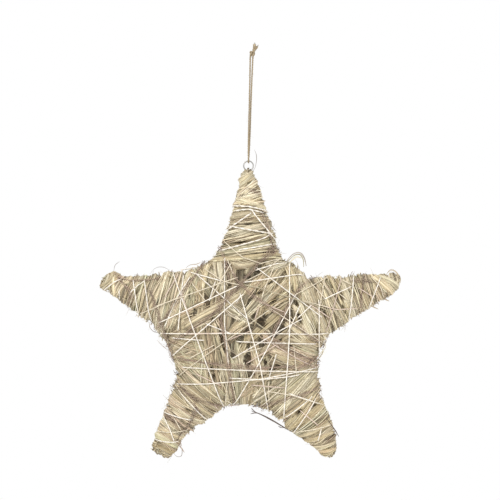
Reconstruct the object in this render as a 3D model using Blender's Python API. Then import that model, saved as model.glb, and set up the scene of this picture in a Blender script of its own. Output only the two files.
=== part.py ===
"""Straw star ornament that hangs by a knotted cord: a padded five-armed star of wound straw, tied
round with brown vine and white twine, on a wire ring.

Metres, +Z up. The origin is the point under the knot where a hook carries the cord loop. The star's
front faces -Y, and its plane is X-Z.
"""

import math

import bmesh
import bpy
import numpy as np
from mathutils import Vector
from mathutils.bvhtree import BVHTree

# Hanging gear
CORD_DIAMETER = 0.0014
CORD_DROP = 0.104
CORD_LEAN = -0.003
CORD_BEND = 0.0028
STRAND_SPACING = 0.0026
KNOT_WIDTH = 0.0052
KNOT_HEIGHT = 0.0068
KNOT_TAIL = 0.0085
RING_RADIUS = 0.0048
RING_WIRE = 0.0013
RING_SINK = 0.0028
GAP = 0.0003

# Star body. A bearing is in degrees clockwise from straight up, seen from the front. Left and right
# are an arm's half-widths at its shoulder, with its tip up, and the notch is the one on its right.
ARMS = {
    "top": {"bearing": 0.8, "reach": 0.161, "tip": 0.0070, "left": 0.0245, "right": 0.0280,
            "notch": 0.0800},
    "right": {"bearing": 72.2, "reach": 0.161, "tip": 0.0096, "left": 0.0270, "right": 0.0285,
              "notch": 0.0775},
    "lower_right": {"bearing": 145.2, "reach": 0.153, "tip": 0.0100, "left": 0.0305,
                    "right": 0.0270, "notch": 0.0765},
    "lower_left": {"bearing": 215.2, "reach": 0.153, "tip": 0.0106, "left": 0.0240,
                   "right": 0.0280, "notch": 0.0810},
    "left": {"bearing": 288.8, "reach": 0.152, "tip": 0.0100, "left": 0.0310, "right": 0.0310,
             "notch": 0.0790},
}
NAMES = list(ARMS)
SHOULDER_RADIUS = 0.086
HALF_THICKNESS = 0.0225
SHOULDER_HALF_THICKNESS = 0.0185
TIP_HALF_THICKNESS = 0.0085
BANDS = 6
BAND_RIDGE = 0.0015
BAND_SLANT_DEGREES = 12.4
BUNDLE_HALF_WIDTH = 0.0115
BUNDLE_RIDGE = 0.0045

# Ties
VINE_DIAMETER = 0.0018
TWINE_DIAMETER = 0.0014
TIE_CLEARANCE = 0.0008

# Fineness of the faceted surfaces
RING_POINTS = 18
RING_SEGMENTS = 22
WIRE_SIDES = 6
CORE_STATIONS = 8
CAP_STATIONS = 2
CHORD_SAMPLES = 80
FEELERS = 7
RIDE_STEP = 0.0004
THIN_WITHIN = 0.00045
FAR = 1.0
PROBE = 0.02

# Where each tie turns round the star's edge: arm, side, and share of the way from tip to notch.
# From one stop to the next it crosses the front, then the back, by turns.
VINE_STOPS = [
    ("left", "left", 0.49), ("left", "right", 0.37),
    ("left", "left", 0.79), ("top", "left", 0.98),
    ("lower_left", "right", 0.99), ("top", "right", 0.86),
    ("top", "left", 0.86), ("right", "right", 0.96),
    ("right", "left", 0.45), ("right", "right", 0.36),
    ("right", "left", 0.90), ("lower_right", "right", 0.95),
    ("lower_right", "left", 0.70), ("lower_right", "right", 0.89),
    ("lower_right", "left", 0.95), ("lower_left", "right", 0.90),
    ("lower_left", "left", 0.87), ("lower_left", "right", 0.77),
    ("lower_left", "left", 0.93), ("top", "left", 0.92),
]
TWINE_STOPS = [
    ("top", "left", 0.40), ("top", "right", 0.48),
    ("top", "left", 0.58), ("top", "right", 0.36),
    ("top", "left", 0.66), ("top", "right", 0.67),
    ("top", "left", 0.80), ("top", "right", 0.75),
    ("top", "left", 0.72), ("right", "right", 0.78),
    ("right", "left", 0.60), ("right", "right", 0.84),
    ("right", "left", 0.50), ("right", "right", 0.62),
    ("right", "left", 0.22), ("right", "right", 0.73),
    ("right", "left", 0.94), ("lower_right", "right", 0.985),
    ("lower_right", "left", 0.82), ("lower_right", "right", 0.44),
    ("lower_right", "left", 0.35), ("lower_right", "right", 0.53),
    ("lower_right", "left", 0.90), ("lower_left", "right", 0.83),
    ("lower_left", "left", 0.62), ("lower_left", "right", 0.71),
    ("lower_left", "left", 0.46), ("lower_left", "right", 0.25),
    ("lower_left", "left", 0.82), ("left", "right", 0.77),
    ("left", "left", 0.72), ("left", "right", 0.45),
    ("left", "left", 0.56), ("right", "left", 0.985),
    ("right", "right", 0.88), ("left", "left", 0.86),
    ("top", "right", 0.96), ("lower_left", "right", 0.95),
]


def clear_scene():
    for obj in list(bpy.data.objects):
        bpy.data.objects.remove(obj)


def material(name, colour, roughness, metallic=0.0):
    made = bpy.data.materials.new(name)
    made.use_nodes = True
    shader = made.node_tree.nodes["Principled BSDF"]
    shader.inputs["Base Color"].default_value = (*colour, 1.0)
    shader.inputs["Roughness"].default_value = roughness
    shader.inputs["Metallic"].default_value = metallic
    return made


def add(name, data, finish):
    """A named object with its material, linked to the scene."""
    obj = bpy.data.objects.new(name, data)
    data.materials.append(finish)
    bpy.context.scene.collection.objects.link(obj)
    return obj


def ring_centre():
    """The wire ring's centre: the cord's bight lies on the ring's top, inside."""
    return np.array([CORD_LEAN, 0.0, -CORD_DROP - RING_RADIUS])


def star_centre():
    """The star's centre in X and Z, below the ring by the top arm's reach less what the ring sinks in."""
    axis, _ = arm_axes("top")
    foot = ring_centre()[[0, 2]] - np.array([0.0, RING_RADIUS - RING_SINK])
    return foot - axis * ARMS["top"]["reach"]


def arm_axes(arm):
    """An arm's outward direction and its right-hand direction, seen from the front with the tip up."""
    bearing = math.radians(ARMS[arm]["bearing"])
    return (
        np.array([math.sin(bearing), math.cos(bearing)]),
        np.array([math.cos(bearing), -math.sin(bearing)]),
    )


def notch(arm, side):
    """The bottom of the notch beside an arm, and the direction along the edge there."""
    step = 1 if side > 0 else -1
    other = NAMES[(NAMES.index(arm) + step) % len(NAMES)]
    between = arm_axes(arm)[0] + arm_axes(other)[0]
    between /= np.linalg.norm(between)
    along = np.array([between[1], -between[0]]) * step
    return between * ARMS[arm if side > 0 else other]["notch"], along


def half_width(arm, side, radius):
    """Straight taper from the tip's cap to the shoulder, and a round cap past it."""
    tip = ARMS[arm]["tip"]
    cap_centre = ARMS[arm]["reach"] - tip
    if radius >= cap_centre:
        return math.sqrt(max(tip**2 - (radius - cap_centre) ** 2, 0.0))
    share = (cap_centre - radius) / (cap_centre - SHOULDER_RADIUS)
    return tip + share * (ARMS[arm]["right" if side > 0 else "left"] - tip)


def fillet(arm, side, share):
    """The edge from shoulder (share 0) to notch (share 1): a quadratic curve tangent to both."""
    axis, across = arm_axes(arm)
    shoulder = half_width(arm, side, SHOULDER_RADIUS)
    start = axis * SHOULDER_RADIUS + side * across * shoulder
    tip = ARMS[arm]["tip"]
    slope = (shoulder - tip) / (ARMS[arm]["reach"] - tip - SHOULDER_RADIUS)
    leaving = -axis + side * across * slope
    end, along = notch(arm, side)
    steps = np.linalg.solve(np.array([leaving, along]).T, end - start)
    corner = start + leaving * steps[0]
    return (1 - share) ** 2 * start + 2 * share * (1 - share) * corner + share**2 * end


def edge(arm, side, share):
    """The star's edge in its own plane, for share 0 at an arm's tip to 1 at the notch beside it."""
    axis, across = arm_axes(arm)
    shoulder_share = 0.8
    if share > shoulder_share:
        return fillet(arm, side, (share - shoulder_share) / (1 - shoulder_share))
    reach = ARMS[arm]["reach"]
    radius = reach + (SHOULDER_RADIUS - reach) * share / shoulder_share
    return axis * radius + side * across * half_width(arm, side, radius)


def bundles(point):
    """How far the straw bundles stand up in the middle: one runs from each notch to the next but one."""
    best = 0.0
    for arm in NAMES:
        start, _ = notch(arm, 1)
        other = NAMES[(NAMES.index(arm) + 2) % len(NAMES)]
        end, _ = notch(other, 1)
        along = (end - start) / np.linalg.norm(end - start)
        away = abs(along[0] * (point - start)[1] - along[1] * (point - start)[0])
        best = max(best, 1 - (away / BUNDLE_HALF_WIDTH) ** 2)
    return BUNDLE_RIDGE * best


def stations(arm):
    """Cross-sections from the tip's cap to the star's centre, each a function of side.

    A row is (spine radius, edge function, half-thickness, ridge, slant).
    """
    tip = ARMS[arm]["tip"]
    cap_centre = ARMS[arm]["reach"] - tip
    axis, across = arm_axes(arm)
    rows = []
    for step in range(1, CAP_STATIONS + 1):
        turn = math.pi / 2 * step / (CAP_STATIONS + 1)
        radius = cap_centre + tip * math.cos(turn)
        rows.append((radius, TIP_HALF_THICKNESS * math.sin(turn), 0.0, 0.0))
    for step in range(2 * BANDS + 1):
        share = step / (2 * BANDS)
        radius = cap_centre + (SHOULDER_RADIUS - cap_centre) * share
        thick = TIP_HALF_THICKNESS + share * (SHOULDER_HALF_THICKNESS - TIP_HALF_THICKNESS)
        most = math.tan(math.radians(BAND_SLANT_DEGREES))
        slant = most * math.sin(math.pi * share) * (-1) ** NAMES.index(arm)
        rows.append((radius, thick, BAND_RIDGE * (step % 2), slant))
    sections = []
    for radius, thick, ridge, slant in rows:

        def straight(side, radius=radius, ridge=ridge, slant=slant):
            width = half_width(arm, side, radius) + ridge
            return axis * (radius + side * slant * width) + side * across * width

        sections.append((radius, straight, thick + ridge))
    for step in range(1, CORE_STATIONS + 1):
        share = step / CORE_STATIONS
        rise = math.sin(math.pi / 2 * share)
        thick = SHOULDER_HALF_THICKNESS + rise * (HALF_THICKNESS - SHOULDER_HALF_THICKNESS)

        def rounded(side, share=share):
            return fillet(arm, side, share)

        sections.append((SHOULDER_RADIUS * (1 - share), rounded, thick))
    return sections


def section_ring(arm, section):
    """A closed ring of points round one cross-section, an ellipse bent towards both edges."""
    radius, edge_at, thick = section
    spine = arm_axes(arm)[0] * radius
    ring = []
    for index in range(RING_POINTS):
        turn = 2 * math.pi * index / RING_POINTS
        outward, forward = math.sin(turn), math.cos(turn)
        side = 1 if outward >= 0 else -1
        place = spine + (edge_at(side) - spine) * abs(outward)
        lift = bundles(place) if radius < SHOULDER_RADIUS else 0.0
        depth = (thick + lift) * forward
        ring.append((place[0], -depth, place[1]))
    return ring


def straw_star(finish):
    """One closed skin: each arm is lofted from its tip, and the arms meet along the notch lines."""
    mesh = bmesh.new()
    centre = star_centre()
    for arm in NAMES:
        rings = []
        for section in stations(arm):
            ring = section_ring(arm, section)
            rings.append([mesh.verts.new((x + centre[0], y, z + centre[1])) for x, y, z in ring])
        tip = arm_axes(arm)[0] * ARMS[arm]["reach"] + centre
        pole = mesh.verts.new((tip[0], 0.0, tip[1]))
        for index in range(RING_POINTS):
            after = (index + 1) % RING_POINTS
            mesh.faces.new((pole, rings[0][index], rings[0][after]))
            for outer, inner in zip(rings, rings[1:]):
                mesh.faces.new((outer[index], inner[index], inner[after], outer[after]))
    bmesh.ops.remove_doubles(mesh, verts=mesh.verts, dist=1e-6)
    bmesh.ops.triangulate(mesh, faces=mesh.faces)
    bmesh.ops.recalc_face_normals(mesh, faces=mesh.faces)
    data = bpy.data.meshes.new("straw_star")
    mesh.to_mesh(data)
    mesh.free()
    data.shade_smooth()
    return add("straw_star", data, finish)


def torus(name, radius, wire_radius, finish):
    bpy.ops.mesh.primitive_torus_add(
        major_segments=RING_SEGMENTS, minor_segments=WIRE_SIDES, major_radius=radius, minor_radius=wire_radius
    )
    obj = bpy.context.object
    obj.name = obj.data.name = name
    obj.rotation_euler.x = math.pi / 2
    obj.location = ring_centre()
    obj.data.materials.append(finish)
    obj.data.shade_smooth()
    return obj


def hanging_ring(finish, star):
    """The wire ring, and the channel that its lower side runs through in the top arm's tip."""
    torus("hanging_ring", RING_RADIUS, RING_WIRE / 2, finish)
    channel = torus("ring_channel", RING_RADIUS, RING_WIRE / 2 + GAP, finish)
    channel.hide_render = True
    channel.display_type = "WIRE"
    cut = star.modifiers.new("ring channel", "BOOLEAN")
    cut.operation = "DIFFERENCE"
    cut.object = channel


def smooth_line(points, spacing):
    """Points about spacing apart on a Catmull-Rom curve through the given points."""
    points = np.array(points, float)
    padded = np.vstack([2 * points[0] - points[1], points, 2 * points[-1] - points[-2]])
    line = []
    for before, start, end, after in zip(padded, padded[1:], padded[2:], padded[3:]):
        count = max(1, round(np.linalg.norm(end - start) / spacing))
        for t in np.arange(count) / count:
            line.append(
                0.5
                * (
                    2 * start
                    + (end - before) * t
                    + (2 * before - 5 * start + 4 * end - after) * t**2
                    + (3 * start - before - 3 * end + after) * t**3
                )
            )
    return np.array([*line, points[-1]])


def tube(name, line, diameter, sides_step, finish):
    """A round tube along a polyline, with 4 + 2 * sides_step sides and filled caps."""
    curve = bpy.data.curves.new(name, "CURVE")
    curve.dimensions = "3D"
    curve.bevel_depth = diameter / 2
    curve.bevel_resolution = sides_step
    curve.use_fill_caps = True
    spline = curve.splines.new("POLY")
    spline.points.add(len(line) - 1)
    for point, place in zip(spline.points, line):
        point.co = (*place, 1.0)
    return add(name, curve, finish)


def cord_route():
    """One strand down from the knot, a bight under the ring's wire, and the other strand back up."""
    bend = CORD_BEND
    ring = ring_centre()
    wire_top = ring[2] + RING_RADIUS
    bight = wire_top - RING_WIRE / 2 - GAP - CORD_DIAMETER / 2
    turn_centre = bight + bend
    start = -(GAP + CORD_DIAMETER / 2)
    down = []
    for share in (0.0, 0.08, 0.25, 0.45, 0.65, 0.82, 0.93):
        height = start + (turn_centre - start) * share
        lean = CORD_LEAN * share
        spread = STRAND_SPACING / 2 * (1 - share)
        down.append((lean - spread, -bend * share**2, height))
    turn = []
    for degrees in (-90, -60, -30, 0, 30, 60, 90):
        angle = math.radians(degrees)
        turn.append((CORD_LEAN, bend * math.sin(angle), turn_centre - bend * math.cos(angle)))
    up = [(2 * CORD_LEAN * share - x, -y, z) for (x, y, z), share in
          zip(down, (0.0, 0.08, 0.25, 0.45, 0.65, 0.82, 0.93))]
    return down + turn + up[::-1]


def cord_knot(finish):
    """The overhand knot as one lump, with the cord's two cut tails standing out of its top."""
    lump = bmesh.new()
    bmesh.ops.create_icosphere(lump, subdivisions=2, radius=1.0)
    for vertex in lump.verts:
        vertex.co.x *= KNOT_WIDTH / 2
        vertex.co.y *= KNOT_WIDTH / 2
        vertex.co.z = (vertex.co.z + 1) * KNOT_HEIGHT / 2
    data = bpy.data.meshes.new("cord_knot")
    lump.to_mesh(data)
    lump.free()
    data.shade_smooth()
    knot = add("cord_knot", data, finish)
    for name, lean in (("left_tail", -12), ("right_tail", 24)):
        tail = bmesh.new()
        bmesh.ops.create_cone(
            tail, cap_ends=True, segments=8, depth=KNOT_TAIL + KNOT_HEIGHT / 2,
            radius1=CORD_DIAMETER * 0.6, radius2=CORD_DIAMETER * 0.75,
        )
        tail_data = bpy.data.meshes.new(name)
        tail.to_mesh(tail_data)
        tail.free()
        helper = add(name, tail_data, finish)
        helper.hide_render = True
        helper.display_type = "WIRE"
        turn = math.radians(lean)
        half = (KNOT_TAIL + KNOT_HEIGHT / 2) / 2
        helper.rotation_euler.y = turn
        helper.location = (
            half * math.sin(turn), 0.0, KNOT_HEIGHT / 2 + half * math.cos(turn)
        )
        join = knot.modifiers.new(name, "BOOLEAN")
        join.operation = "UNION"
        join.object = helper


class Winder:
    """Lays ties tightly round the star, each chord riding over what was laid before it."""

    def __init__(self, star):
        graph = bpy.context.evaluated_depsgraph_get()
        self.skin = BVHTree.FromObject(star, graph)
        self.centre = star_centre()
        self.laid = []

    def stop(self, place, diameter):
        """The point just outside the edge where a tie turns from the front to the back."""
        arm, side_name, share = place
        side = 1 if side_name == "right" else -1
        here = edge(arm, side, share)
        ahead = edge(arm, side, min(share + 0.01, 1.0))
        behind = edge(arm, side, share - 0.01)
        outward = np.array([ahead[1] - behind[1], behind[0] - ahead[0]]) * -side
        outward /= np.linalg.norm(outward)
        outside = here + self.centre + outward * PROBE
        hit = self.skin.ray_cast(
            Vector((outside[0], 0.0, outside[1])), Vector((-outward[0], 0.0, -outward[1]))
        )[0]
        return np.array([hit.x, hit.z]) + outward * (TIE_CLEARANCE + GAP + diameter / 2)

    def rise(self, place, across, stand, facing):
        """How high a tie's centre is above the straw's middle plane when it rests there, on one face.

        The straw is felt across the tie's width, and each spot lifts the centre as a ball there would.
        """
        height = 0.0
        for shift in np.linspace(-stand, stand, FEELERS):
            spot = place + across * shift
            origin = Vector((spot[0], facing * FAR, spot[1]))
            hit = self.skin.ray_cast(origin, Vector((0.0, -facing, 0.0)))[0]
            if hit:
                height = max(height, abs(hit.y) + math.sqrt(stand**2 - shift**2) - stand)
        return height

    def ride_over(self, start, along, length, other, diameter):
        """The heights that keep a new tie clear of one that is already laid, where they come close."""
        apart = (diameter + other["diameter"]) / 2 + GAP + THIN_WITHIN
        far = np.arange(0.0, length, RIDE_STEP)
        spots = start + far[:, None] * along
        run = (other["end"] - other["start"]) / other["length"]
        reached = np.clip((spots - other["start"]) @ run, 0.0, other["length"])
        beside = np.linalg.norm(spots - other["start"] - reached[:, None] * run, axis=1)
        near = beside < apart
        under = np.interp(reached[near], *other["profile"].T)
        return zip(far[near], under + np.sqrt(apart**2 - beside[near] ** 2))

    def chord(self, start, end, facing, diameter):
        """A taut line over one face: the upper hull of the straw and of the ties that it crosses."""
        stand = TIE_CLEARANCE + GAP + diameter / 2
        length = np.linalg.norm(end - start)
        along = (end - start) / length
        across = np.array([-along[1], along[0]])
        shares = 0.5 - 0.5 * np.cos(math.pi * np.arange(CHORD_SAMPLES + 1) / CHORD_SAMPLES)
        heights = [
            self.rise(start + (end - start) * share, across, stand, facing) for share in shares
        ]
        section = np.array([shares * length, heights]).T
        slope = np.gradient(section[:, 1], section[:, 0])
        normal = np.array([-slope, np.ones(len(slope))]).T
        normal /= np.linalg.norm(normal, axis=1)[:, None]
        lifted = (section + normal * stand)[section[:, 1] > 0]
        inside = (lifted[:, 0] > 0) & (lifted[:, 0] < length)
        profile = [(0.0, 0.0), (length, 0.0), *map(tuple, lifted[inside])]
        for other in self.laid:
            if other["facing"] == facing:
                profile.extend(self.ride_over(start, along, length, other, diameter))
        profile = thinned(upper_hull(profile), THIN_WITHIN)
        self.laid.append({
            "facing": facing, "start": start, "end": end, "length": length,
            "profile": profile, "diameter": diameter,
        })
        return [
            (*(start + along * far), height) for far, height in profile
        ]

    def wind(self, stops, diameter, loose_end=()):
        """The tie's centreline as 3D points, crossing the front and the back by turns."""
        line = [Vector(point) for point in loose_end]
        facing = -1
        places = [self.stop(stop, diameter) for stop in stops]
        for start, end in zip(places, places[1:]):
            for x, z, height in self.chord(start, end, facing, diameter)[:-1]:
                line.append(Vector((x, facing * height, z)))
            facing = -facing
        line.append(Vector((places[-1][0], 0.0, places[-1][1])))
        return line


def upper_hull(points):
    """The upper convex hull of (distance, height) points, from left to right."""
    hull = []
    for point in sorted(points):
        while len(hull) > 1:
            (x0, y0), (x1, y1) = hull[-2:]
            if (x1 - x0) * (point[1] - y0) < (y1 - y0) * (point[0] - x0):
                break
            hull.pop()
        hull.append(point)
    return np.array(hull)


def thinned(points, within):
    """The same line with fewer points, none of those left out further from it than within."""
    if len(points) < 3:
        return points
    run = points[-1] - points[0]
    rest = points[1:-1] - points[0]
    away = np.abs(run[0] * rest[:, 1] - run[1] * rest[:, 0]) / np.linalg.norm(run)
    far = int(away.argmax())
    if away[far] < within:
        return points[[0, -1]]
    left = thinned(points[: far + 2], within)
    return np.vstack([left[:-1], thinned(points[far + 1 :], within)])


def main():
    clear_scene()
    straw = material("straw", (0.62, 0.53, 0.36), 0.75)
    white = material("white_twine", (0.86, 0.82, 0.72), 0.7)
    brown = material("brown_vine", (0.36, 0.27, 0.22), 0.8)
    jute = material("jute", (0.48, 0.37, 0.23), 0.9)
    steel = material("steel_wire", (0.55, 0.53, 0.5), 0.35, 1.0)

    star = straw_star(straw)
    bpy.context.view_layer.update()
    winder = Winder(star)
    hanging_ring(steel, star)
    tube("brown_vine", winder.wind(VINE_STOPS, VINE_DIAMETER), VINE_DIAMETER, 0, brown)
    tube("white_twine", winder.wind(TWINE_STOPS, TWINE_DIAMETER), TWINE_DIAMETER, 0, white)
    route = smooth_line(cord_route(), 3 * CORD_DIAMETER)
    tube("hanging_cord", route, CORD_DIAMETER, 2, jute)
    cord_knot(jute)
    return winder


main()
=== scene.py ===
"""Straw star ornament: straw wound round a padded star, tied with brown vine and white twine, and hung by a
jute cord from a wire ring. Metres, +Z up. The star faces -Y, and the origin is under the cord's knot."""

import math

import bmesh
import bpy
import numpy as np
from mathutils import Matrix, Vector
from mathutils.bvhtree import BVHTree


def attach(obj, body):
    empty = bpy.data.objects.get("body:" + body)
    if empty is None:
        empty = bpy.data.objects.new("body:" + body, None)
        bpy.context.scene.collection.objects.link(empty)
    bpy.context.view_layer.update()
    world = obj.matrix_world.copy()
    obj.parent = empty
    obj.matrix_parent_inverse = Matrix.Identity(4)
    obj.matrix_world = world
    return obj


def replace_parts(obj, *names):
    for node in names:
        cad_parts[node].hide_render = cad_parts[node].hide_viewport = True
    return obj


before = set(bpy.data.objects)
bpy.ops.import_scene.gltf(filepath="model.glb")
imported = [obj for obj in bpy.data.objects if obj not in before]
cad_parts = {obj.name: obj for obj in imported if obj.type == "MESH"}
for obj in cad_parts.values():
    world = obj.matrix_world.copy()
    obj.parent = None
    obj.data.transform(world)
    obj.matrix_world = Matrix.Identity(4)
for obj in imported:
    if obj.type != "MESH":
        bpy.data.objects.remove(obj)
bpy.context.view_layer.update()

dice = np.random.default_rng(24)
TURN = 2 * math.pi
FRONT = np.array([0.0, -1.0, 0.0])

# The star, as in the part's source. A bearing is in degrees clockwise from straight up.
ARM_SIZES = ("bearing", "reach", "tip", "left", "right", "notch")
ARMS = {
    name: dict(zip(ARM_SIZES, sizes))
    for name, *sizes in (
        ("top", 0.8, 0.161, 0.0070, 0.0245, 0.0280, 0.0800),
        ("right", 72.2, 0.161, 0.0096, 0.0270, 0.0285, 0.0775),
        ("lower_right", 145.2, 0.153, 0.0100, 0.0305, 0.0270, 0.0765),
        ("lower_left", 215.2, 0.153, 0.0106, 0.0240, 0.0280, 0.0810),
        ("left", 288.8, 0.152, 0.0100, 0.0310, 0.0310, 0.0790),
    )
}
NAMES = list(ARMS)
SHOULDER_RADIUS = 0.086
TAPER_SHARE = 0.8  # of the edge from a tip to a notch
NOTCH_SHARE = 0.2  # the rest, round to the notch
RING_CENTRE = np.array([-0.003, 0.0, -0.1088])
RING_RADIUS = 0.0048
RING_WIRE = 0.0013
RING_SINK = 0.0028
CORD_DIAMETER = 0.0014
CORD_LEAN = -0.003
STRAND_SPACING = 0.0026
KNOT_HEIGHT = 0.0068
ORIGIN_COLUMN = 251.5  # the origin in the photograph
ORIGIN_ROW = 57
MISSED = 0.2  # a height above this is a ray that met nothing


# Places and directions

def at(column, row, depth=0.0):
    """A place by the photograph's column and row, a millimetre each, and its depth behind the plane."""
    return np.array([(column - ORIGIN_COLUMN) / 1000, depth, (ORIGIN_ROW - row) / 1000])


def unit(v):
    return v / np.maximum(np.linalg.norm(v, axis=-1, keepdims=True), 1e-12)


def slanted(first, second, degrees):
    """A direction between two: the first's share is the angle's cosine and the second's its sine."""
    return first * math.cos(math.radians(degrees)) + second * math.sin(math.radians(degrees))


def arm_axes(arm):
    """An arm's outward and right-hand directions in the star's plane: sine and cosine of its bearing."""
    bearing = math.radians(ARMS[arm]["bearing"])
    outward = np.array([math.sin(bearing), 0.0, math.cos(bearing)])
    return outward, np.array([math.cos(bearing), 0.0, -math.sin(bearing)])


STAR_TOP = RING_CENTRE + np.array([0.0, 0.0, RING_SINK - RING_RADIUS])
CENTRE = STAR_TOP - arm_axes("top")[0] * ARMS["top"]["reach"]


def notch(arm, side):
    """The bottom of the notch beside an arm, from the centre, and the direction along the edge there."""
    step = 1 if side > 0 else -1
    other = NAMES[(NAMES.index(arm) + step) % len(NAMES)]
    between = unit(arm_axes(arm)[0] + arm_axes(other)[0])
    along = np.array([between[2], 0.0, -between[0]]) * step
    return between * ARMS[arm if side > 0 else other]["notch"], along


def half_width(arm, side, radius):
    """Straight taper from the tip's round cap to the shoulder."""
    tip, reach = ARMS[arm]["tip"], ARMS[arm]["reach"]
    if radius >= reach - tip:
        return math.sqrt(max(tip**2 - (radius - reach + tip) ** 2, 0.0))
    share = (reach - tip - radius) / (reach - tip - SHOULDER_RADIUS)
    return tip + share * (ARMS[arm]["right" if side > 0 else "left"] - tip)


def edge(arm, side, share):
    """The star's edge from an arm's tip (0) to its shoulder (0.8) and to the notch (1).

    The last stretch is a quadratic curve, tangent to the taper where it leaves and to the notch at its end.
    """
    outward, across = arm_axes(arm)
    reach, tip = ARMS[arm]["reach"], ARMS[arm]["tip"]
    if share <= TAPER_SHARE:
        radius = reach + (SHOULDER_RADIUS - reach) * share / TAPER_SHARE
        return CENTRE + outward * radius + side * across * half_width(arm, side, radius)
    shoulder = half_width(arm, side, SHOULDER_RADIUS)
    start = outward * SHOULDER_RADIUS + side * across * shoulder
    leaving = -outward + side * across * (shoulder - tip) / (reach - tip - SHOULDER_RADIUS)
    end, along = notch(arm, side)
    steps = np.linalg.solve(np.array([leaving, along]).T[[0, 2]], (end - start)[[0, 2]])
    corner = start + leaving * steps[0]
    t = (share - TAPER_SHARE) / NOTCH_SHARE
    return CENTRE + (1 - t) ** 2 * start + 2 * t * (1 - t) * corner + t**2 * end


class Skin:
    """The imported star's surface, felt by rays."""

    def __init__(self, node):
        mesh = node.data
        self.tree = BVHTree.FromPolygons([v.co for v in mesh.vertices], [p.vertices for p in mesh.polygons])

    def reach(self, starts, ways):
        """How far each ray runs before it meets the surface, for arrays of starts and unit directions."""
        hits = [self.tree.ray_cast(s, w)[3] for s, w in zip(starts.reshape(-1, 3), ways.reshape(-1, 3))]
        return np.array([0.0 if h is None else h for h in hits]).reshape(ways.shape[:-1])

    def height(self, places, way):
        """How far the surface stands off each place, felt from a metre away along an inward direction."""
        return 1.0 - self.reach(places - way, np.broadcast_to(way, places.shape))


skin = Skin(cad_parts["straw_star"])


# Meshes

def piece(name, points, faces, finish, tones=None, strand=None, smooth=True):
    """An object from a point array and face arrays, riding on the row's one body."""
    mesh = bpy.data.meshes.new(name)
    points = np.ascontiguousarray(points, float).reshape(-1, 3)
    mesh.vertices.add(len(points))
    mesh.vertices.foreach_set("co", points.ravel())
    corners = np.concatenate([f.ravel() for f in faces])
    sizes = np.concatenate([np.full(len(f), f.shape[1]) for f in faces])
    mesh.loops.add(len(corners))
    mesh.loops.foreach_set("vertex_index", corners.astype(np.int32))
    mesh.polygons.add(len(sizes))
    mesh.polygons.foreach_set("loop_start", (np.cumsum(sizes) - sizes).astype(np.int32))
    mesh.update(calc_edges=True)
    attributes = (("tone", "FLOAT_COLOR", "color", tones), ("strand", "FLOAT_VECTOR", "vector", strand))
    for label, kind, field, values in attributes:
        if values is not None:
            data = mesh.attributes.new(label, kind, "POINT").data
            data.foreach_set(field, np.ascontiguousarray(values, np.float32).ravel())
    if smooth:
        mesh.shade_smooth()
    mesh.materials.append(finish)
    obj = bpy.data.objects.new(name, mesh)
    bpy.context.scene.collection.objects.link(obj)
    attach(obj, "root")
    return obj


def walls(n, k, sides):
    """The faces of many closed tubes, each of k rings of points, with a flat cap on each end."""
    index = np.arange(n * k * sides).reshape(n, k, sides)
    here, there = index[:, :-1], index[:, 1:]
    skirt = np.stack([here, there, np.roll(there, -1, 2), np.roll(here, -1, 2)], -1).reshape(-1, 4)
    return [skirt, index[:, 0], index[:, -1, ::-1]]


def way_along(lines):
    """How far along its line each point is."""
    return np.cumsum(np.linalg.norm(np.diff(lines, axis=-2, prepend=lines[..., :1, :]), axis=-1), -1)


def tubes(lines, up, wide, thick, sides, roll=0.0):
    """Closed tubes along many lines at once: points, faces and strand coordinates.

    At each of a line's points, the section is an oval: half the width times the cosine along the side
    direction, plus half the thickness times the sine along the up direction, turned by roll. Flat caps close
    the ends.
    """
    n, k = lines.shape[:2]
    ahead = unit(np.gradient(lines, axis=1))
    side = unit(np.cross(ahead, up))
    lift = np.cross(side, ahead)
    roll = np.broadcast_to(roll, (n, k))[..., None]
    side, lift = side * np.cos(roll) + lift * np.sin(roll), lift * np.cos(roll) - side * np.sin(roll)
    angle = TURN * (np.arange(sides) + 0.5) / sides
    wide = np.broadcast_to(wide, (n, k))[..., None, None]
    thick = np.broadcast_to(thick, (n, k))[..., None, None]
    cosine, sine = np.cos(angle)[:, None], np.sin(angle)[:, None]
    points = lines[:, :, None] + side[:, :, None] * wide / 2 * cosine + lift[:, :, None] * thick / 2 * sine
    strand = np.empty((n, k, sides, 3))
    strand[..., 0] = way_along(lines)[..., None]
    strand[..., 1] = np.arange(sides) / sides
    strand[..., 2] = dice.random((n, 1, 1))
    return points, walls(n, k, sides), strand


def gathered(batches):
    """Several tube batches as one: their points, faces, tones and strand coordinates, renumbered."""
    points, faces, tones, strands, base = [], [], [], [], 0
    for (p, f, s), tone in batches:
        points.append(p.reshape(-1, 3))
        faces.extend(face + base for face in f)
        strands.append(s.reshape(-1, 3))
        tone = tone if tone.ndim == 4 else tone[:, None, None]
        tones.append(np.broadcast_to(tone, (*p.shape[:3], 4)).reshape(-1, 4))
        base += len(points[-1])
    return np.concatenate(points), faces, np.concatenate(tones), np.concatenate(strands)


def smooth_line(points, spacing):
    """Points about spacing apart on a Catmull-Rom curve through the given points."""
    points = np.array(points, float)
    padded = np.vstack([2 * points[0] - points[1], points, 2 * points[-1] - points[-2]])
    line = []
    for p, q, r, s in zip(padded, padded[1:], padded[2:], padded[3:]):
        count = max(1, round(np.linalg.norm(r - q) / spacing))
        t = np.arange(count)[:, None] / count
        bend = (2 * p - 5 * q + 4 * r - s) * t**2
        line.append(0.5 * (2 * q + (r - p) * t + bend + (3 * q - p - 3 * r + s) * t**3))
    return np.vstack([*line, points[-1:]])


def evenly(points, spacing):
    """The same line with points a fixed distance apart, by straight interpolation over its length."""
    far = way_along(points)
    steps = np.linspace(0, far[-1], max(3, round(far[-1] / spacing) + 1))
    return np.stack([np.interp(steps, far, points[:, i]) for i in range(3)], 1)


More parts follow.
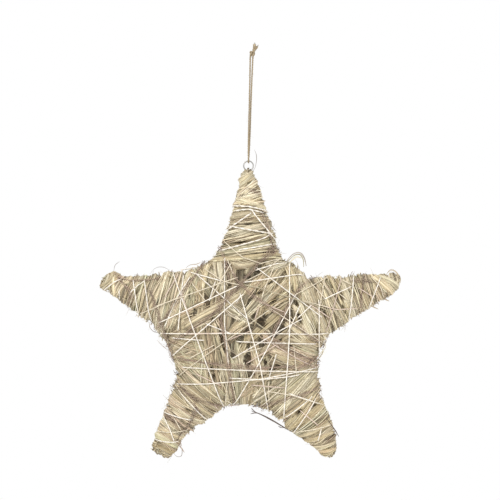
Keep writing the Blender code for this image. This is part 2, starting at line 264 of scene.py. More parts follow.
def relaxed(points, rounds):
    """Each inner point moved to half itself plus a quarter of each neighbour, several times."""
    points = points.copy()
    for _ in range(rounds):
        points[1:-1] = points[:-2] / 4 + points[1:-1] / 2 + points[2:] / 4
    return points


# Where the real edge leaves the straight tapers: column, row, millimetres right, millimetres down, spread.
SHIFTS = np.array([
    (237, 190, 2.2, 0, 8), (231, 213, 1.4, 0, 7), (226, 229, 1.4, 0, 6), (257, 177, -3, 0, 6),
    (262, 193, -1.6, 0, 7), (267, 210, -2.4, 0, 8), (243, 170, 1, 1, 3), (253, 171, -1, 1.4, 3),
    (210, 256, 1, 1.4, 6), (284, 256, -1, 2.2, 5), (294, 261, 2, -2.4, 4), (309, 274, 0, 4.8, 5),
    (160, 453, 1, -1.4, 5), (126, 271, 0, 4, 7), (138, 271, 0, 3.6, 8), (150, 271, 0, 3.8, 8),
    (162, 272, 0, 1.6, 6), (113, 272, 0, -2, 3.5), (113, 299, 1, -1.4, 8), (130, 311, 0.7, -1, 7),
    (148, 326, 1.2, -1.2, 8), (169, 358, 1.2, 0, 8), (174, 378, 2, 0, 8), (150, 328, 1, -0.6, 5),
    (101, 288, -1.6, 0.6, 4), (107, 273, 0, 1.4, 4), (343, 273, 0, 2.6, 9), (376, 272, 0, 2.8, 8),
    (358, 272, 0, 0.6, 6), (399, 277, 1.2, -0.4, 4), (400, 286, -1.4, 0, 4), (329, 335, -1.2, -1.2, 5),
    (352, 318, -0.6, -1, 5), (322, 387, -1.6, 0, 7), (325, 400, -1.8, 0, 7), (338, 446, -2.2, 0, 6),
    (331, 456, 0, 1.4, 4), (300, 440, 1.2, -1.8, 6), (312, 449, 1.4, -1.8, 6), (280, 421, 0.8, -2.4, 5),
    (188, 441, -3.4, -3.6, 7), (200, 430, -3, -3.2, 7), (212, 419, -1, -1.2, 6), (229, 407, 0, -2.2, 6),
    (172, 456, 0, 2, 5),
])


def settled(points):
    """Places moved by the sum of all shifts, each weaker with distance by a Gaussian of its spread."""
    points = points.copy()
    moved = points[:, [0, 2]].copy()
    for column, row, right, down, spread in SHIFTS:
        off = moved - at(column, row)[[0, 2]]
        share = np.exp(-(off**2).sum(1) / (2 * (spread / 1000) ** 2))
        points[:, 0] += share * right / 1000
        points[:, 2] -= share * down / 1000
    return points


def batch_piece(name, batches, finish, shifted=True):
    """One piece of many tube batches, moved with the star's edge if it lies on the star."""
    points, faces, tones, strands = gathered(batches)
    return piece(name, settled(points) if shifted else points, faces, finish, tones, strands)


# Finishes

class Wire:
    """A node's output. An operator on it adds the Math node that does it."""

    def __init__(self, recipe, socket):
        self.recipe, self.socket = recipe, socket

    def _math(self, operation, other):
        return self.recipe.node("ShaderNodeMath", {"operation": operation}, {0: self, 1: other})

    def __add__(self, other):
        return self._math("ADD", other)

    def __mul__(self, other):
        return self._math("MULTIPLY", other)


class Recipe:
    """A material being put together, whose shader takes the sockets given to finish."""

    def __init__(self, name):
        self.material = bpy.data.materials.new(name)
        self.material.use_nodes = True
        self.tree = self.material.node_tree
        self.shader = self.tree.nodes["Principled BSDF"]

    def node(self, kind, settings=None, sockets=None, output=0):
        """Any node: its settings first, then the value or link of each input socket."""
        made = self.tree.nodes.new(kind)
        for key, value in (settings or {}).items():
            setattr(made, key, value)
        self._fill(made, sockets or {})
        return Wire(self, made.outputs[output])

    def _fill(self, made, sockets):
        for key, value in sockets.items():
            if isinstance(value, Wire):
                self.tree.links.new(value.socket, made.inputs[key])
            else:
                made.inputs[key].default_value = value

    def attribute(self, name, output=0):
        """A point attribute of the mesh: its colour, vector (1) or mean (2)."""
        return self.node("ShaderNodeAttribute", {"attribute_name": name}, output=output)

    def noise(self, place, scales, detail):
        """Noise over a place, each of whose three coordinates is multiplied by its own scale."""
        stretched = self.node("ShaderNodeVectorMath", {"operation": "MULTIPLY"}, {0: place, 1: scales})
        sockets = {"Vector": stretched, "Scale": 1.0, "Detail": detail, "Roughness": 0.6}
        return self.node("ShaderNodeTexNoise", {}, sockets)

    def between(self, value, low, high, to_low=0.0, to_high=1.0):
        """The value's place between low and high, held inside them, carried over to another range."""
        sockets = {0: value, 1: low, 2: high, 3: to_low, 4: to_high}
        return self.node("ShaderNodeMapRange", {"clamp": True}, sockets)

    def mix(self, share, first, second, blend="MIX"):
        settings = {"data_type": "RGBA", "blend_type": blend}
        return self.node("ShaderNodeMix", settings, {0: share, 6: first, 7: second}, 2)

    def bump(self, height, strength, depth):
        return self.node("ShaderNodeBump", {}, {"Height": height, "Strength": strength, "Distance": depth})

    def finish(self, **sockets):
        self._fill(self.shader, {key.replace("_", " "): value for key, value in sockets.items()})
        return self.material


def linear(red, green, blue):
    """An sRGB colour, 0 to 255, as the linear colour that the shaders take."""
    c = np.array([red, green, blue]) / 255
    return np.append(np.where(c <= 0.04045, c / 12.92, ((c + 0.055) / 1.055) ** 2.4), 1.0)


def straw_finish(name):
    """Dry straw: the strand's own tone, with fine grain along it, paler and darker runs, and scorch spots.

    A tone darker than a deep crease's goes on down to near black: painted shade in gaps.
    """
    r = Recipe(name)
    tone, strand, bright = r.attribute("tone"), r.attribute("strand", 1), r.attribute("tone", 2)
    grain = r.noise(strand, (90.0, 9.0, 310.0), 4.0)
    runs = r.noise(strand, (38.0, 2.4, 170.0), 2.0)
    spots = r.noise(strand, (160.0, 2.0, 700.0), 3.0)
    colour = r.mix(r.between(grain, 0.3, 0.7), tone, (1.0, 0.98, 0.94, 1.0), "SOFT_LIGHT")
    colour = r.mix(r.between(grain, 0.52, 0.36, 0.0, 0.34), colour, (0.30, 0.21, 0.12, 1.0))
    colour = r.mix(r.between(runs, 0.54, 0.68, 0.0, 0.45), colour, (0.82, 0.73, 0.52, 1.0))
    colour = r.mix(r.between(runs, 0.46, 0.32, 0.0, 0.6), colour, (0.17, 0.115, 0.055, 1.0))
    colour = r.mix(r.between(spots, 0.66, 0.78, 0.0, 0.6), colour, (0.20, 0.13, 0.08, 1.0))
    # painted shade: tones as dark as a gap's go on down to near black
    colour = r.mix(r.between(bright, 0.15, 0.03, 0.0, 0.88), colour, (0.035, 0.022, 0.008, 1.0))
    return r.finish(
        Base_Color=colour, Roughness=r.between(grain, 0.3, 0.7, 0.72, 0.5),
        Normal=r.bump(grain, 0.6, 0.00012), Specular_IOR_Level=0.35,
    )


def shaded_bed_finish():
    """The deep straw that shows in the gaps, dark as painted shade: brown, with crossed fibres, and painted
    shade nearly black between them.
    """
    r = Recipe("deep straw")
    place = r.node("ShaderNodeTexCoord", output=3)
    fibres = r.noise(place, (900.0, 300.0, 120.0), 4.0)
    other = r.noise(place, (140.0, 300.0, 800.0), 4.0)
    both = fibres * 0.5 + other * 0.5
    # painted shade: dark brown, and nearly black between the fibres
    colour = r.mix(r.between(both, 0.4, 0.62), (0.035, 0.024, 0.014, 1.0), (0.16, 0.115, 0.065, 1.0))
    return r.finish(Base_Color=colour, Roughness=0.9, Normal=r.bump(both, 0.8, 0.0006))


def tie_finish(name, dark, lay, rough):
    """A tie: its own tone, darker by slanting stripes, a sine of the way along it plus the turn round it. The
    stripes are painted shade in the grooves of the twist, broken up by fuzz.
    """
    r = Recipe(name)
    tone, strand = r.attribute("tone"), r.attribute("strand", 1)
    parts = r.node("ShaderNodeSeparateXYZ", {}, {0: strand})
    around = Wire(r, parts.socket.node.outputs[1])
    angle = parts * (TURN / lay) + around * (TURN * 2)
    stripes = r.node("ShaderNodeMath", {"operation": "SINE"}, {0: angle})
    fuzz = r.noise(strand, (700.0, 4.0, 50.0), 4.0)
    # painted shade in the grooves of the twist, broken up by fuzz
    groove_shade = r.between(stripes * 0.3 + fuzz, 0.25, 0.8, 1.0, 0.0)
    colour = r.mix(groove_shade, tone, (dark, dark * 0.94, dark * 0.88, 1.0), "MULTIPLY")
    return r.finish(
        Base_Color=colour, Roughness=r.between(fuzz, 0.3, 0.7, rough, rough - 0.12),
        Normal=r.bump(stripes * 0.5 + fuzz, 0.5, 0.00015), Specular_IOR_Level=0.25,
    )


def wire_finish():
    """Plain steel wire, a little dulled: grey, with drawn scratches and faint brown bloom."""
    r = Recipe("steel wire")
    strand = r.attribute("strand", 1)
    drawn = r.noise(strand, (60.0, 14.0, 3.0), 3.0)
    bloom = r.noise(strand, (420.0, 2.0, 3.0), 3.0)
    colour = r.mix(r.between(bloom, 0.5, 0.75, 0.0, 0.6), (0.40, 0.39, 0.37, 1.0), (0.22, 0.18, 0.14, 1.0))
    return r.finish(Base_Color=colour, Roughness=r.between(drawn, 0.3, 0.7, 0.26, 0.46), Metallic=1.0,
                    Normal=r.bump(drawn, 0.3, 0.00005))


STRAW = straw_finish("straw")
SHADED_BED = shaded_bed_finish()
WHITE = tie_finish("white twine", 0.72, 0.004, 0.72)
BROWN = tie_finish("brown vine", 0.58, 0.005, 0.85)
JUTE = tie_finish("jute", 0.5, 0.0035, 0.9)
STEEL = wire_finish()
TWIG = tie_finish("dark twig", 0.5, 0.02, 0.8)

TONES = {name: linear(*colour) for name, colour in {
    "cream": (193, 184, 159), "straw": (178, 165, 137), "honey": (172, 155, 119), "green": (161, 157, 127),
    "pink": (180, 155, 133), "tan": (154, 137, 109), "shade": (158, 138, 108), "mauve": (188, 167, 150),
    "white": (250, 245, 235), "twine": (232, 222, 200), "rose": (222, 204, 190), "jute": (176, 160, 132),
    "grey": (150, 142, 134), "dark": (104, 90, 82),
}.items()}
STRAW_TONES = ["cream", "straw", "honey", "tan", "green", "pink"]


# Straw

class Cloth:
    """A grid of places on the star's surface, u across and v along, with their outward directions."""

    closed = False

    def finish(self, ways):
        """The outward directions: the cross product of the grid's runs, on the side that its rays left by."""
        if self.closed:
            along = np.roll(self.points, -1, 1) - np.roll(self.points, 1, 1)
        else:
            along = np.gradient(self.points, axis=1)
        out = unit(np.cross(np.gradient(self.points, axis=0), along))
        self.out = out * np.sign((out * ways).sum(-1, keepdims=True))

    def at(self, u, v):
        """Places and outward directions at u and v, from 0 to 1, blended between the four nearest."""
        rows, steps = self.points.shape[:2]
        i = np.clip(u, 0, 1) * (rows - 1)
        j = (v % 1.0) * steps if self.closed else np.clip(v, 0, 1) * (steps - 1)
        i0 = np.minimum(i.astype(int), rows - 2)
        j0 = j.astype(int) % steps if self.closed else np.minimum(j.astype(int), steps - 2)
        s = (i - i0)[..., None]
        t = (j - np.floor(j) if self.closed else j - j0)[..., None]
        j1 = (j0 + 1) % steps

        def blend(grid):
            near = grid[i0, j0] * (1 - s) + grid[i0 + 1, j0] * s
            past = grid[i0, j1] * (1 - s) + grid[i0 + 1, j1] * s
            return near * (1 - t) + past * t

        return blend(self.points), unit(blend(self.out))


class Winding(Cloth):
    """The surface that a bundle is wound on, all the way round the star in one plane.

    A spine line runs under the bundle. From each of its points, rays go out in the plane at even steps of an
    ellipse's angle, and where they leave the star is the surface. Lengths are averaged with their neighbours.
    """

    closed = True

    def __init__(self, middle, along, width, stretch, rows=5, steps=56):
        across = np.cross(along, FRONT)
        offset = np.linspace(-width / 2, width / 2, rows)
        spine = middle + offset[:, None] * across
        angle = TURN * np.arange(steps) / steps
        ways = unit(along * np.cos(angle)[:, None] * stretch + FRONT * np.sin(angle)[:, None])
        ways = np.broadcast_to(ways, (rows, steps, 3))
        far = skin.reach(np.repeat(spine[:, None], steps, 1), ways)
        for _ in range(3):
            far = far / 2 + (np.roll(far, 1, 1) + np.roll(far, -1, 1)) / 4
        self.points = spine[:, None] + ways * far[..., None]
        self.finish(ways)


class Face(Cloth):
    """The surface under a bundle laid on one face of the star, between two places of the photograph.

    The ribbon bows sideways from the straight line by a sine. Its heights are felt from in front or from
    behind, and where it would run past the star's edge, it stays at the last place on the star.
    """

    lowest = 0.007  # a surface nearer the star's plane than this is past the edge

    def __init__(self, first, last, width, bow=0.0, facing=-1.0, rows=6, steps=20):
        a, b = at(*first), at(*last)
        across = np.cross(unit(b - a), FRONT)
        v = np.linspace(0, 1, steps)[:, None]
        spine = a + (b - a) * v + across * bow * np.sin(math.pi * v)
        places = spine[None] + across * (np.linspace(-0.5, 0.5, rows) * width)[:, None, None]
        way = np.broadcast_to([0.0, -facing, 0.0], places.shape)
        tall = skin.height(places, way)
        tall = np.where(tall < MISSED, tall, 0.0)
        held = tall > self.lowest
        held[~held.any(1)] = held.any(0)
        first, last = held.argmax(1)[:, None], steps - 1 - held[:, ::-1].argmax(1)[:, None]
        column = np.clip(np.arange(steps)[None], first, last)
        tall = np.maximum(np.take_along_axis(tall, column, 1), self.lowest)
        places = np.take_along_axis(places, column[..., None], 1)
        for _ in range(2):
            padded = np.pad(tall, 1, mode="edge")
            beside = padded[:-2, 1:-1] + padded[2:, 1:-1]
            tall = tall / 2 + (beside + padded[1:-1, :-2] + padded[1:-1, 2:]) / 8
        self.points = places - way * tall[..., None]
        self.finish(-way)


# Where straw in painted shade shows between bundles: column, row, half-length, half-width,
# bearing of its length.
GAPS = np.array([
    (243.5, 275.5, 7, 2.4, 92), (207.5, 300, 7, 2.3, -18), (195.5, 311, 4.2, 2, 0),
    (213.5, 318, 3.5, 1.2, 0), (223, 340, 12, 1.9, -12), (229.5, 284.5, 2.6, 1.3, 30),
    (253.5, 315.5, 4.5, 2.2, 35), (261, 322, 5, 3.4, 110), (273, 301, 6.8, 1.6, 55),
    (260, 292, 4.8, 1.6, 62), (272, 281, 5, 1.2, 60), (283.5, 273.5, 2.8, 1.2, 60),
    (292.5, 288, 4.6, 1.7, -10), (295.5, 302, 4.6, 2, -30), (299, 317, 6.2, 1.9, -20),
    (319, 305, 4.4, 1.5, 0), (324, 313, 5.2, 1.6, -20), (272.5, 335, 2.8, 1.8, 0),
    (280, 339, 2.4, 1.1, 60), (288, 345, 2.4, 1.1, 60), (241, 339, 3, 2.2, 10), (248, 344, 2.6, 1.8, 10),
    (245, 359, 3.4, 1, 0), (249.5, 359, 3.8, 1.4, 0), (265, 360.5, 3.2, 1.7, -30),
    (277, 365, 3.4, 1.4, 60), (261, 374.5, 5.4, 1.3, 75), (212, 367, 2.8, 1.4, 0), (214, 375, 3.6, 1.4, 0),
    (234, 386.5, 4.2, 1.3, -10), (189, 408.5, 3.8, 1.6, 105), (340, 294, 6, 1.9, -25),
    (343, 309, 4.5, 1.7, -20), (298, 410, 3.6, 2.1, 60), (314, 405, 2.6, 1.3, 40),
    (248, 224, 3.4, 1.3, 85), (240, 242.5, 8, 1.1, 84), (172.5, 418.5, 4.2, 1.5, 112),
    (190, 295, 3, 1, -12), (330, 284, 3, 1.1, -10),
])


CREASE_SHADE_TINT = np.array([1.04, 0.96, 0.78])  # painted shade: a crease's tint against its straws' colour
GAP_SHADE = np.array([0.84, 0.875, 0.92])  # painted shade: how much of each colour is lost in a gap
RIDGES = (0.00035, 0.0010)  # how high a straw stands above its creases
UNDERSIDE = -0.0016  # the lines that close a bundle underneath
END_DIP = 0.0044  # how far a bundle's straws go under the others at their ends
GAP_DIP = 0.0052  # and in a gap
BLADE_END_DIP = 0.0026  # the same for a single straw
BLADE_GAP_DIP = 0.0045


def gap_share(points):
    """How deep in a gap each place is, 0 to 1: one and a half less its oval's squared radius, held."""
    turn = np.radians(GAPS[:, 4])
    rel = points[..., None, [0, 2]] - (GAPS[:, :2] * [1, -1] + [-ORIGIN_COLUMN, ORIGIN_ROW]) / 1000
    a = rel[..., 0] * np.sin(turn) + rel[..., 1] * np.cos(turn)
    b = rel[..., 0] * np.cos(turn) - rel[..., 1] * np.sin(turn)
    inside = 1.5 - (a / GAPS[:, 2] * 1000) ** 2 - (b / GAPS[:, 3] * 1000) ** 2
    return np.clip(inside.max(-1), 0, 1) * (points[..., 1] < -0.003)


def straw_tones(tone, count, mixed=0.45, spread=0.15):
    """A colour for each of many straws: the bundle's tone mixed with others, some browner, some paler."""
    others = np.array([TONES[dice.choice(STRAW_TONES)][:3] for _ in range(count)])
    tint = np.array([1.065, 1.08, 1.11]) * (TONES[tone][:3] * (1 - mixed) + mixed * others)
    odd = dice.choice([1.03, 0.46, 1.52], count, p=[0.61, 0.17, 0.22])
    return np.clip(tint * (odd * dice.normal(1.0, spread, count))[:, None], 0.01, 0.9)


def wave(low, high, t, count=None):
    """A slow sine along t, of a chance number of turns between low and high, with a chance start."""
    return np.sin(TURN * (dice.uniform(low, high, count) * t + dice.random(count)))


def sheaf(cloth, straws, begin, end, lift, crown, tone,
          stops=22, fill=0.72, sway=0.8, crease=0.34, rim_shade=0.3, shade=1.0):
    """A flat bundle of straws side by side, as one closed skin.

    Across it, each straw is a ridge between two creases. The height is the lift, plus the crown times one
    less the squared offset, plus the ridge; it falls where each straw ends, to go under the others, and in
    gaps. The bundle narrows to its ends, breathes and sways inside the cloth by slow sines, and is closed by
    three lines underneath. Its colours carry painted shade: darker and browner in the creases, darker at its
    edges, where straws end and go under, underneath and in gaps. A shade below one darkens it all as painted
    shade; above one it makes the bundle paler.
    """
    t = np.linspace(0, 1, stops)[:, None]
    offset = np.concatenate([np.linspace(-1, 1, 2 * straws + 1), [0.66, 0.0, -0.66]])
    tight = np.clip(np.minimum(t, 1 - t) / 0.22, 0, 1)
    width = fill * (1 + 0.16 * wave(0.5, 1.3, t)) * (0.45 + 0.55 * tight * (2 - tight))
    drift = (1 - fill) * sway * wave(0.3, 0.9, t)
    place, out = cloth.at(0.5 + 0.5 * (offset * width + drift), begin + (end - begin) * t + 0 * offset)
    ridge = np.zeros((stops, len(offset)))
    beat = wave(0.4, 1.6, t, straws)
    ridge[:, 1:2 * straws:2] = dice.uniform(*RIDGES, straws) * (0.8 + 0.5 * beat)
    ridge[:, -3:] = UNDERSIDE
    early, late = dice.uniform(0, 0.09, (2, straws)).repeat(2, 1)
    early, late = (np.concatenate([e[:1], e, [0, 0, 0]]) for e in (early, late))
    ends = np.clip(np.minimum(t - early, 1 - late - t) / 0.11, 0, 1)
    high = lift + crown * (1 - offset**2) + ridge - END_DIP * (1 - ends) ** 2
    deep = gap_share(place)
    hold = np.ones(len(offset))
    hold[1:2 * straws:2] = dice.choice([0.35, 1.0], straws, p=[0.12, 0.88])
    points = place + out * (high - GAP_DIP * deep * hold)[..., None]
    colour = np.empty((stops, len(offset), 3))
    # a shade below one darkens the whole bundle as painted shade
    own = straw_tones(tone, straws) * shade
    colour[:, 1:2 * straws:2] = own
    pairs = np.vstack([own[:1], own]) + np.vstack([own, own[-1:]])
    # painted shade in each crease between two straws: darker and browner than they are
    colour[:, 0:2 * straws + 1:2] = crease * CREASE_SHADE_TINT * pairs / 2
    # painted shade underneath: the closing lines are half as bright as the straws
    colour[:, -3:] = own.mean(0) * 0.5
    # painted shade at the bundle's edges and where its straws end and go under the others
    edge_shade = 1 - rim_shade * offset**6
    # painted shade in gaps, less for the held straws
    colour *= (1 - (deep * hold)[..., None] * GAP_SHADE) * (edge_shade * (0.72 + 0.28 * ends))[..., None]
    strand = np.empty((1, stops, len(offset), 3))
    strand[0, ..., 0] = way_along(place[:, straws])[:, None]
    strand[0, ..., 1] = offset * straws * 0.28
    strand[0, ..., 2] = dice.random()
    tones = np.concatenate([colour, np.ones((stops, len(offset), 1))], -1)[None]
    middle = stops // 2
    here = points[middle, straws]
    turned = np.cross(points[middle, straws + 1] - here, points[middle + 1, straws] - here)
    points = points[None]
    if turned @ out[middle, straws] > 0:
        points, strand, tones = points[:, :, ::-1], strand[:, :, ::-1], tones[:, :, ::-1]
    return (points, walls(*points.shape[:3]), strand), tones


def blades(cloth, count, begin, end, lift, tone,
           span=(0.3, 0.8), broad=(0.0008, 0.0017), stops=14, lean=0.25):
    """Single straws on the bundles: each keeps to its share of the cloth, sways, and dips at its ends."""
    t = np.linspace(0, 1, stops)
    length = dice.uniform(*span, count)
    first = begin + dice.random(count) * (end - begin - length * (0 if cloth.closed else 1))
    v = first[:, None] + length[:, None] * t
    offset = dice.uniform(-1, 1, count)
    sway = dice.uniform(0.02, 0.12, (count, 1)) * wave(0.4, 1.3, t, (count, 1))
    drift = dice.normal(0, lean, (count, 1)) * (t - 0.5)
    u = 0.5 + 0.5 * (offset[:, None] * 0.8 + sway + drift)
    place, out = cloth.at(u, v)
    ends = np.clip(np.minimum(t, 1 - t) / 0.12, 0, 1)
    deep = gap_share(place)
    sunk = BLADE_END_DIP * (1 - ends) ** 2
    high = lift + dice.uniform(0, 0.0007, (count, 1)) - sunk - BLADE_GAP_DIP * deep
    wide = dice.uniform(*broad, count)[:, None] * (0.55 + 0.45 * ends)
    roll = dice.normal(0, 0.3, count)[:, None] + dice.normal(0, 0.45, count)[:, None] * t
    # painted shade: darker in gaps and at the ends, where the straw goes under
    shade = (1 - 0.6 * deep) * (0.75 + 0.25 * ends)
    own = straw_tones(tone, count, 0.5, 0.12)[:, None] * shade[..., None]
    tones = np.ones((count, stops, 4, 4))
    tones[..., :3] = own[:, :, None]
    return tubes(place + out * high[..., None], out, wide, np.minimum(wide * 0.55, 0.0007), 4, roll), tones


ARM_LAYERS = (  # spacing, width, lift, slant in degrees, crown; the last layer has the arm's own slant
    (0.0072, 0.0125, -0.0022, 7, 0.0006),
    (0.0070, 0.0115, -0.0014, -9, 0.0009),
    (0.0082, 0.0118, -0.0007, None, 0.0016),
)
TIP_MARGIN = 0.0052  # from a tip to its first bundle
TIP_ZONE = 0.020  # bundles this near a tip are narrower and less slanted
INNERMOST = 0.071  # how near the centre the bundles go
STRAWS_A_METRE = 850
WOUND_TONES = ["straw", "cream", "honey", "tan", "green", "pink"]
WOUND_SHARES = [0.30, 0.2, 0.15, 0.15, 0.12, 0.08]


def arm_bundles(arm):
    """An arm's straw: two deep layers in opposite slants, a fuller third, single straws, and caps."""
    outward, across = arm_axes(arm)
    reach, tip = ARMS[arm]["reach"], ARMS[arm]["tip"]
    laid = []
    for spacing, width, lift, slant, crown in ARM_LAYERS:
        uppermost = slant is None
        slant = SLANTS[arm] if uppermost else slant
        for radius in np.arange(reach - TIP_MARGIN, INNERMOST, -spacing):
            near_tip = radius > reach - TIP_ZONE
            size = width * (0.68 if near_tip else 1.0)
            turn = slant * (0.5 if near_tip else 1.0) + dice.normal(0, 5)
            place = CENTRE + outward * (radius - dice.uniform(0, 0.2) * spacing)
            cloth = Winding(place, slanted(across, outward, turn), size, stretch=1.15)
            straws = max(5, round(size * STRAWS_A_METRE))
            begin = dice.random()
            tone = dice.choice(WOUND_TONES, p=WOUND_SHARES)
            end = begin + dice.uniform(0.86, 1.06)
            laid.append(sheaf(cloth, straws, begin, end, lift, crown, tone))
            if uppermost:
                laid.append(blades(cloth, 5 if near_tip else 12, 0, 1, lift + 0.0012, tone, lean=0.5))
    for turn, width, lift in ((0, 2.0 * tip, -0.0012), (16, 1.5 * tip, -0.0004), (-20, 1.3 * tip, 0.0)):
        place = CENTRE + outward * (reach - 0.013)
        cloth = Winding(place, slanted(outward, across, turn), width, stretch=1.4)
        straws = max(4, round(width * 900))
        laid.append(sheaf(cloth, straws, begin=-0.24, end=0.24, lift=lift, crown=0.0006, tone="straw"))
    for back, slant, width, tone in TIP_BANDS[arm]:
        place = CENTRE + outward * (reach - back / 1000)
        cloth = Winding(place, slanted(across, outward, slant), width * 1.25 / 1000, stretch=1.1)
        laid.append(sheaf(cloth, width, begin=0.62, end=1.58, lift=-0.0020, crown=0.0036, tone=tone,
                          stops=26, crease=0.70, rim_shade=0.85, shade=1.1))
        laid.append(blades(cloth, 4, 0, 1, lift=0.0004, tone=tone))
    return laid


def curled_ends(arm, count, tones, size=1.0):
    """Cut and curled straw ends at a tip: half-circle ribbons standing on the surface, every way about.

    Each foot is where a ray from inside the tip leaves the star. The ribbon runs along a chance tangent while
    its height goes by the sine of half a turn.
    """
    outward = arm_axes(arm)[0]
    ways = unit(dice.normal(0, 1, (count, 3)) * [1.0, 0.9, 1.0] + outward * 1.1)
    start = np.broadcast_to(CENTRE + outward * (ARMS[arm]["reach"] - 0.011), ways.shape)
    foot = start + ways * skin.reach(start, ways)[:, None]
    along = unit(np.cross(ways, dice.normal(0, 1, (count, 3))))
    t = np.linspace(0, 1, 9)[None, :, None]
    span = dice.uniform(0.003, 0.007, (count, 1, 1)) * size
    high = dice.uniform(0.0006, 0.0022, (count, 1, 1)) * size
    end = dice.choice([1.0, 0.6], (count, 1, 1))
    rise = high * np.sin(math.pi * t * end) - 0.0006
    lines = foot[:, None] + along[:, None] * span * (t - 0.5) + ways[:, None] * rise
    tint = np.ones((count, 4))
    tint[:, :3] = [TONES[dice.choice(tones)][:3] * dice.uniform(0.4, 1.3) for _ in range(count)]
    broad = dice.uniform(0.0008, 0.0018, (count, 1))
    return tubes(lines, ways[:, None] + 0 * lines, broad, 0.0005, 5, dice.normal(0, 0.5, (count, 1))), tint


SLANTS = {"top": 10, "right": 4, "lower_right": 6, "lower_left": -4, "left": -3}
TIP_BANDS = {  # fat bands near each tip: millimetres back from it, slant in degrees, width in straws, tone
    "top": [(35, -16, 9, "cream"), (28.5, 14, 7, "cream"), (21, 30, 8, "cream"), (13.5, 34, 8, "cream"),
            (6.5, 34, 7, "cream")],
    "right": [(24, 14, 9, "tan"), (17, 30, 10, "straw"), (10, 40, 10, "cream")],
    "lower_right": [(30, -10, 10, "straw"), (22, -12, 9, "tan"), (14, -14, 10, "straw"),
                    (7, -20, 8, "honey")],
    "lower_left": [(24, 8, 9, "tan"), (16, 10, 9, "green"), (8, 24, 9, "honey")],
    "left": [(20, -12, 9, "straw"), (13, 16, 8, "honey"), (6, -26, 8, "straw")],
}
CURLS = {  # how many curled ends at each tip, their tones and their size
    "top": (8, ["cream", "straw"], 0.7),
    "right": (16, ["straw", "cream", "honey"], 0.8),
    "lower_right": (26, ["honey", "straw", "tan"], 0.8),
    "lower_left": (90, ["honey", "tan", "straw", "cream"], 1.5),
    "left": (40, ["honey", "green", "straw"], 1.1),
}


NOTCH_FAN = 14  # degrees that the outermost bundles of a notch turn
NOTCH_REACH = 0.021  # how far to each side they lie
NOTCH_DEPTH = 0.026  # how far inside the edge their spines start


def notch_bundles():
    """Bundles wrapped over the edge in each notch, from the front of the middle to its back."""
    laid = []
    for arm in NAMES:
        bottom, side = notch(arm, 1)
        between = unit(bottom)
        for share in (-1, -0.5, 0, 0.5, 1):
            way = slanted(between, side, share * -NOTCH_FAN + dice.normal(0, 4))
            place = CENTRE + bottom - between * NOTCH_DEPTH + side * (share * NOTCH_REACH)
            cloth = Winding(place, way, 0.015, stretch=1.3)
            tone = dice.choice(["straw", "tan", "honey", "green"])
            begin = -0.30 - dice.uniform(0, 0.04)
            end = 0.30 + dice.uniform(0, 0.04)
            lift = -0.0016 + dice.uniform(0, 0.0008)
            laid.append(sheaf(cloth, 11, begin, end, lift, crown=0.0010, tone=tone))
    return laid


# The first layer over the middle: column and row of a bundle's two ends, its width, bow and tone.
DEEP_BUNDLES = [
    (178, 268, 166, 336, 16, 1, "green"), (190, 264, 180, 350, 16, 1, "straw"),
    (205, 260, 197, 352, 16, 0, "tan"), (219, 256, 212, 352, 16, 0, "honey"),
    (232, 258, 226, 342, 14, 0, "tan"), (252, 256, 238, 320, 16, 0, "straw"),
    (270, 258, 252, 330, 16, 0, "honey"), (197, 330, 206, 400, 15, 0, "tan"),
    (208, 320, 224, 406, 15, 0, "straw"), (222, 330, 238, 406, 14, 0, "tan"),
    (238, 330, 248, 406, 14, 0, "green"), (252, 330, 260, 406, 15, 0, "tan"),
    (285, 260, 300, 332, 15, 0, "straw"), (298, 268, 316, 338, 15, 0, "green"),
    (312, 276, 326, 336, 14, 0, "tan"), (216, 352, 302, 262, 16, 0, "tan"),
    (236, 354, 312, 276, 16, 0, "honey"), (176, 338, 252, 284, 16, 0, "tan"),
    (252, 356, 318, 318, 15, 0, "tan"), (264, 344, 320, 368, 15, 0, "pink"),
    (262, 358, 320, 382, 15, 0, "tan"), (246, 406, 318, 350, 16, 0, "straw"),
    (266, 412, 326, 372, 16, 0, "green"), (236, 400, 300, 350, 15, 0, "tan"),
    (164, 344, 214, 404, 16, 0, "straw"), (160, 362, 206, 410, 15, 0, "green"),
    (178, 340, 234, 406, 14, 0, "tan"), (163, 332, 226, 350, 14, 0, "tan"),
    (163, 350, 222, 368, 14, 0, "straw"), (228, 262, 268, 260, 16, 0, "tan"),
]
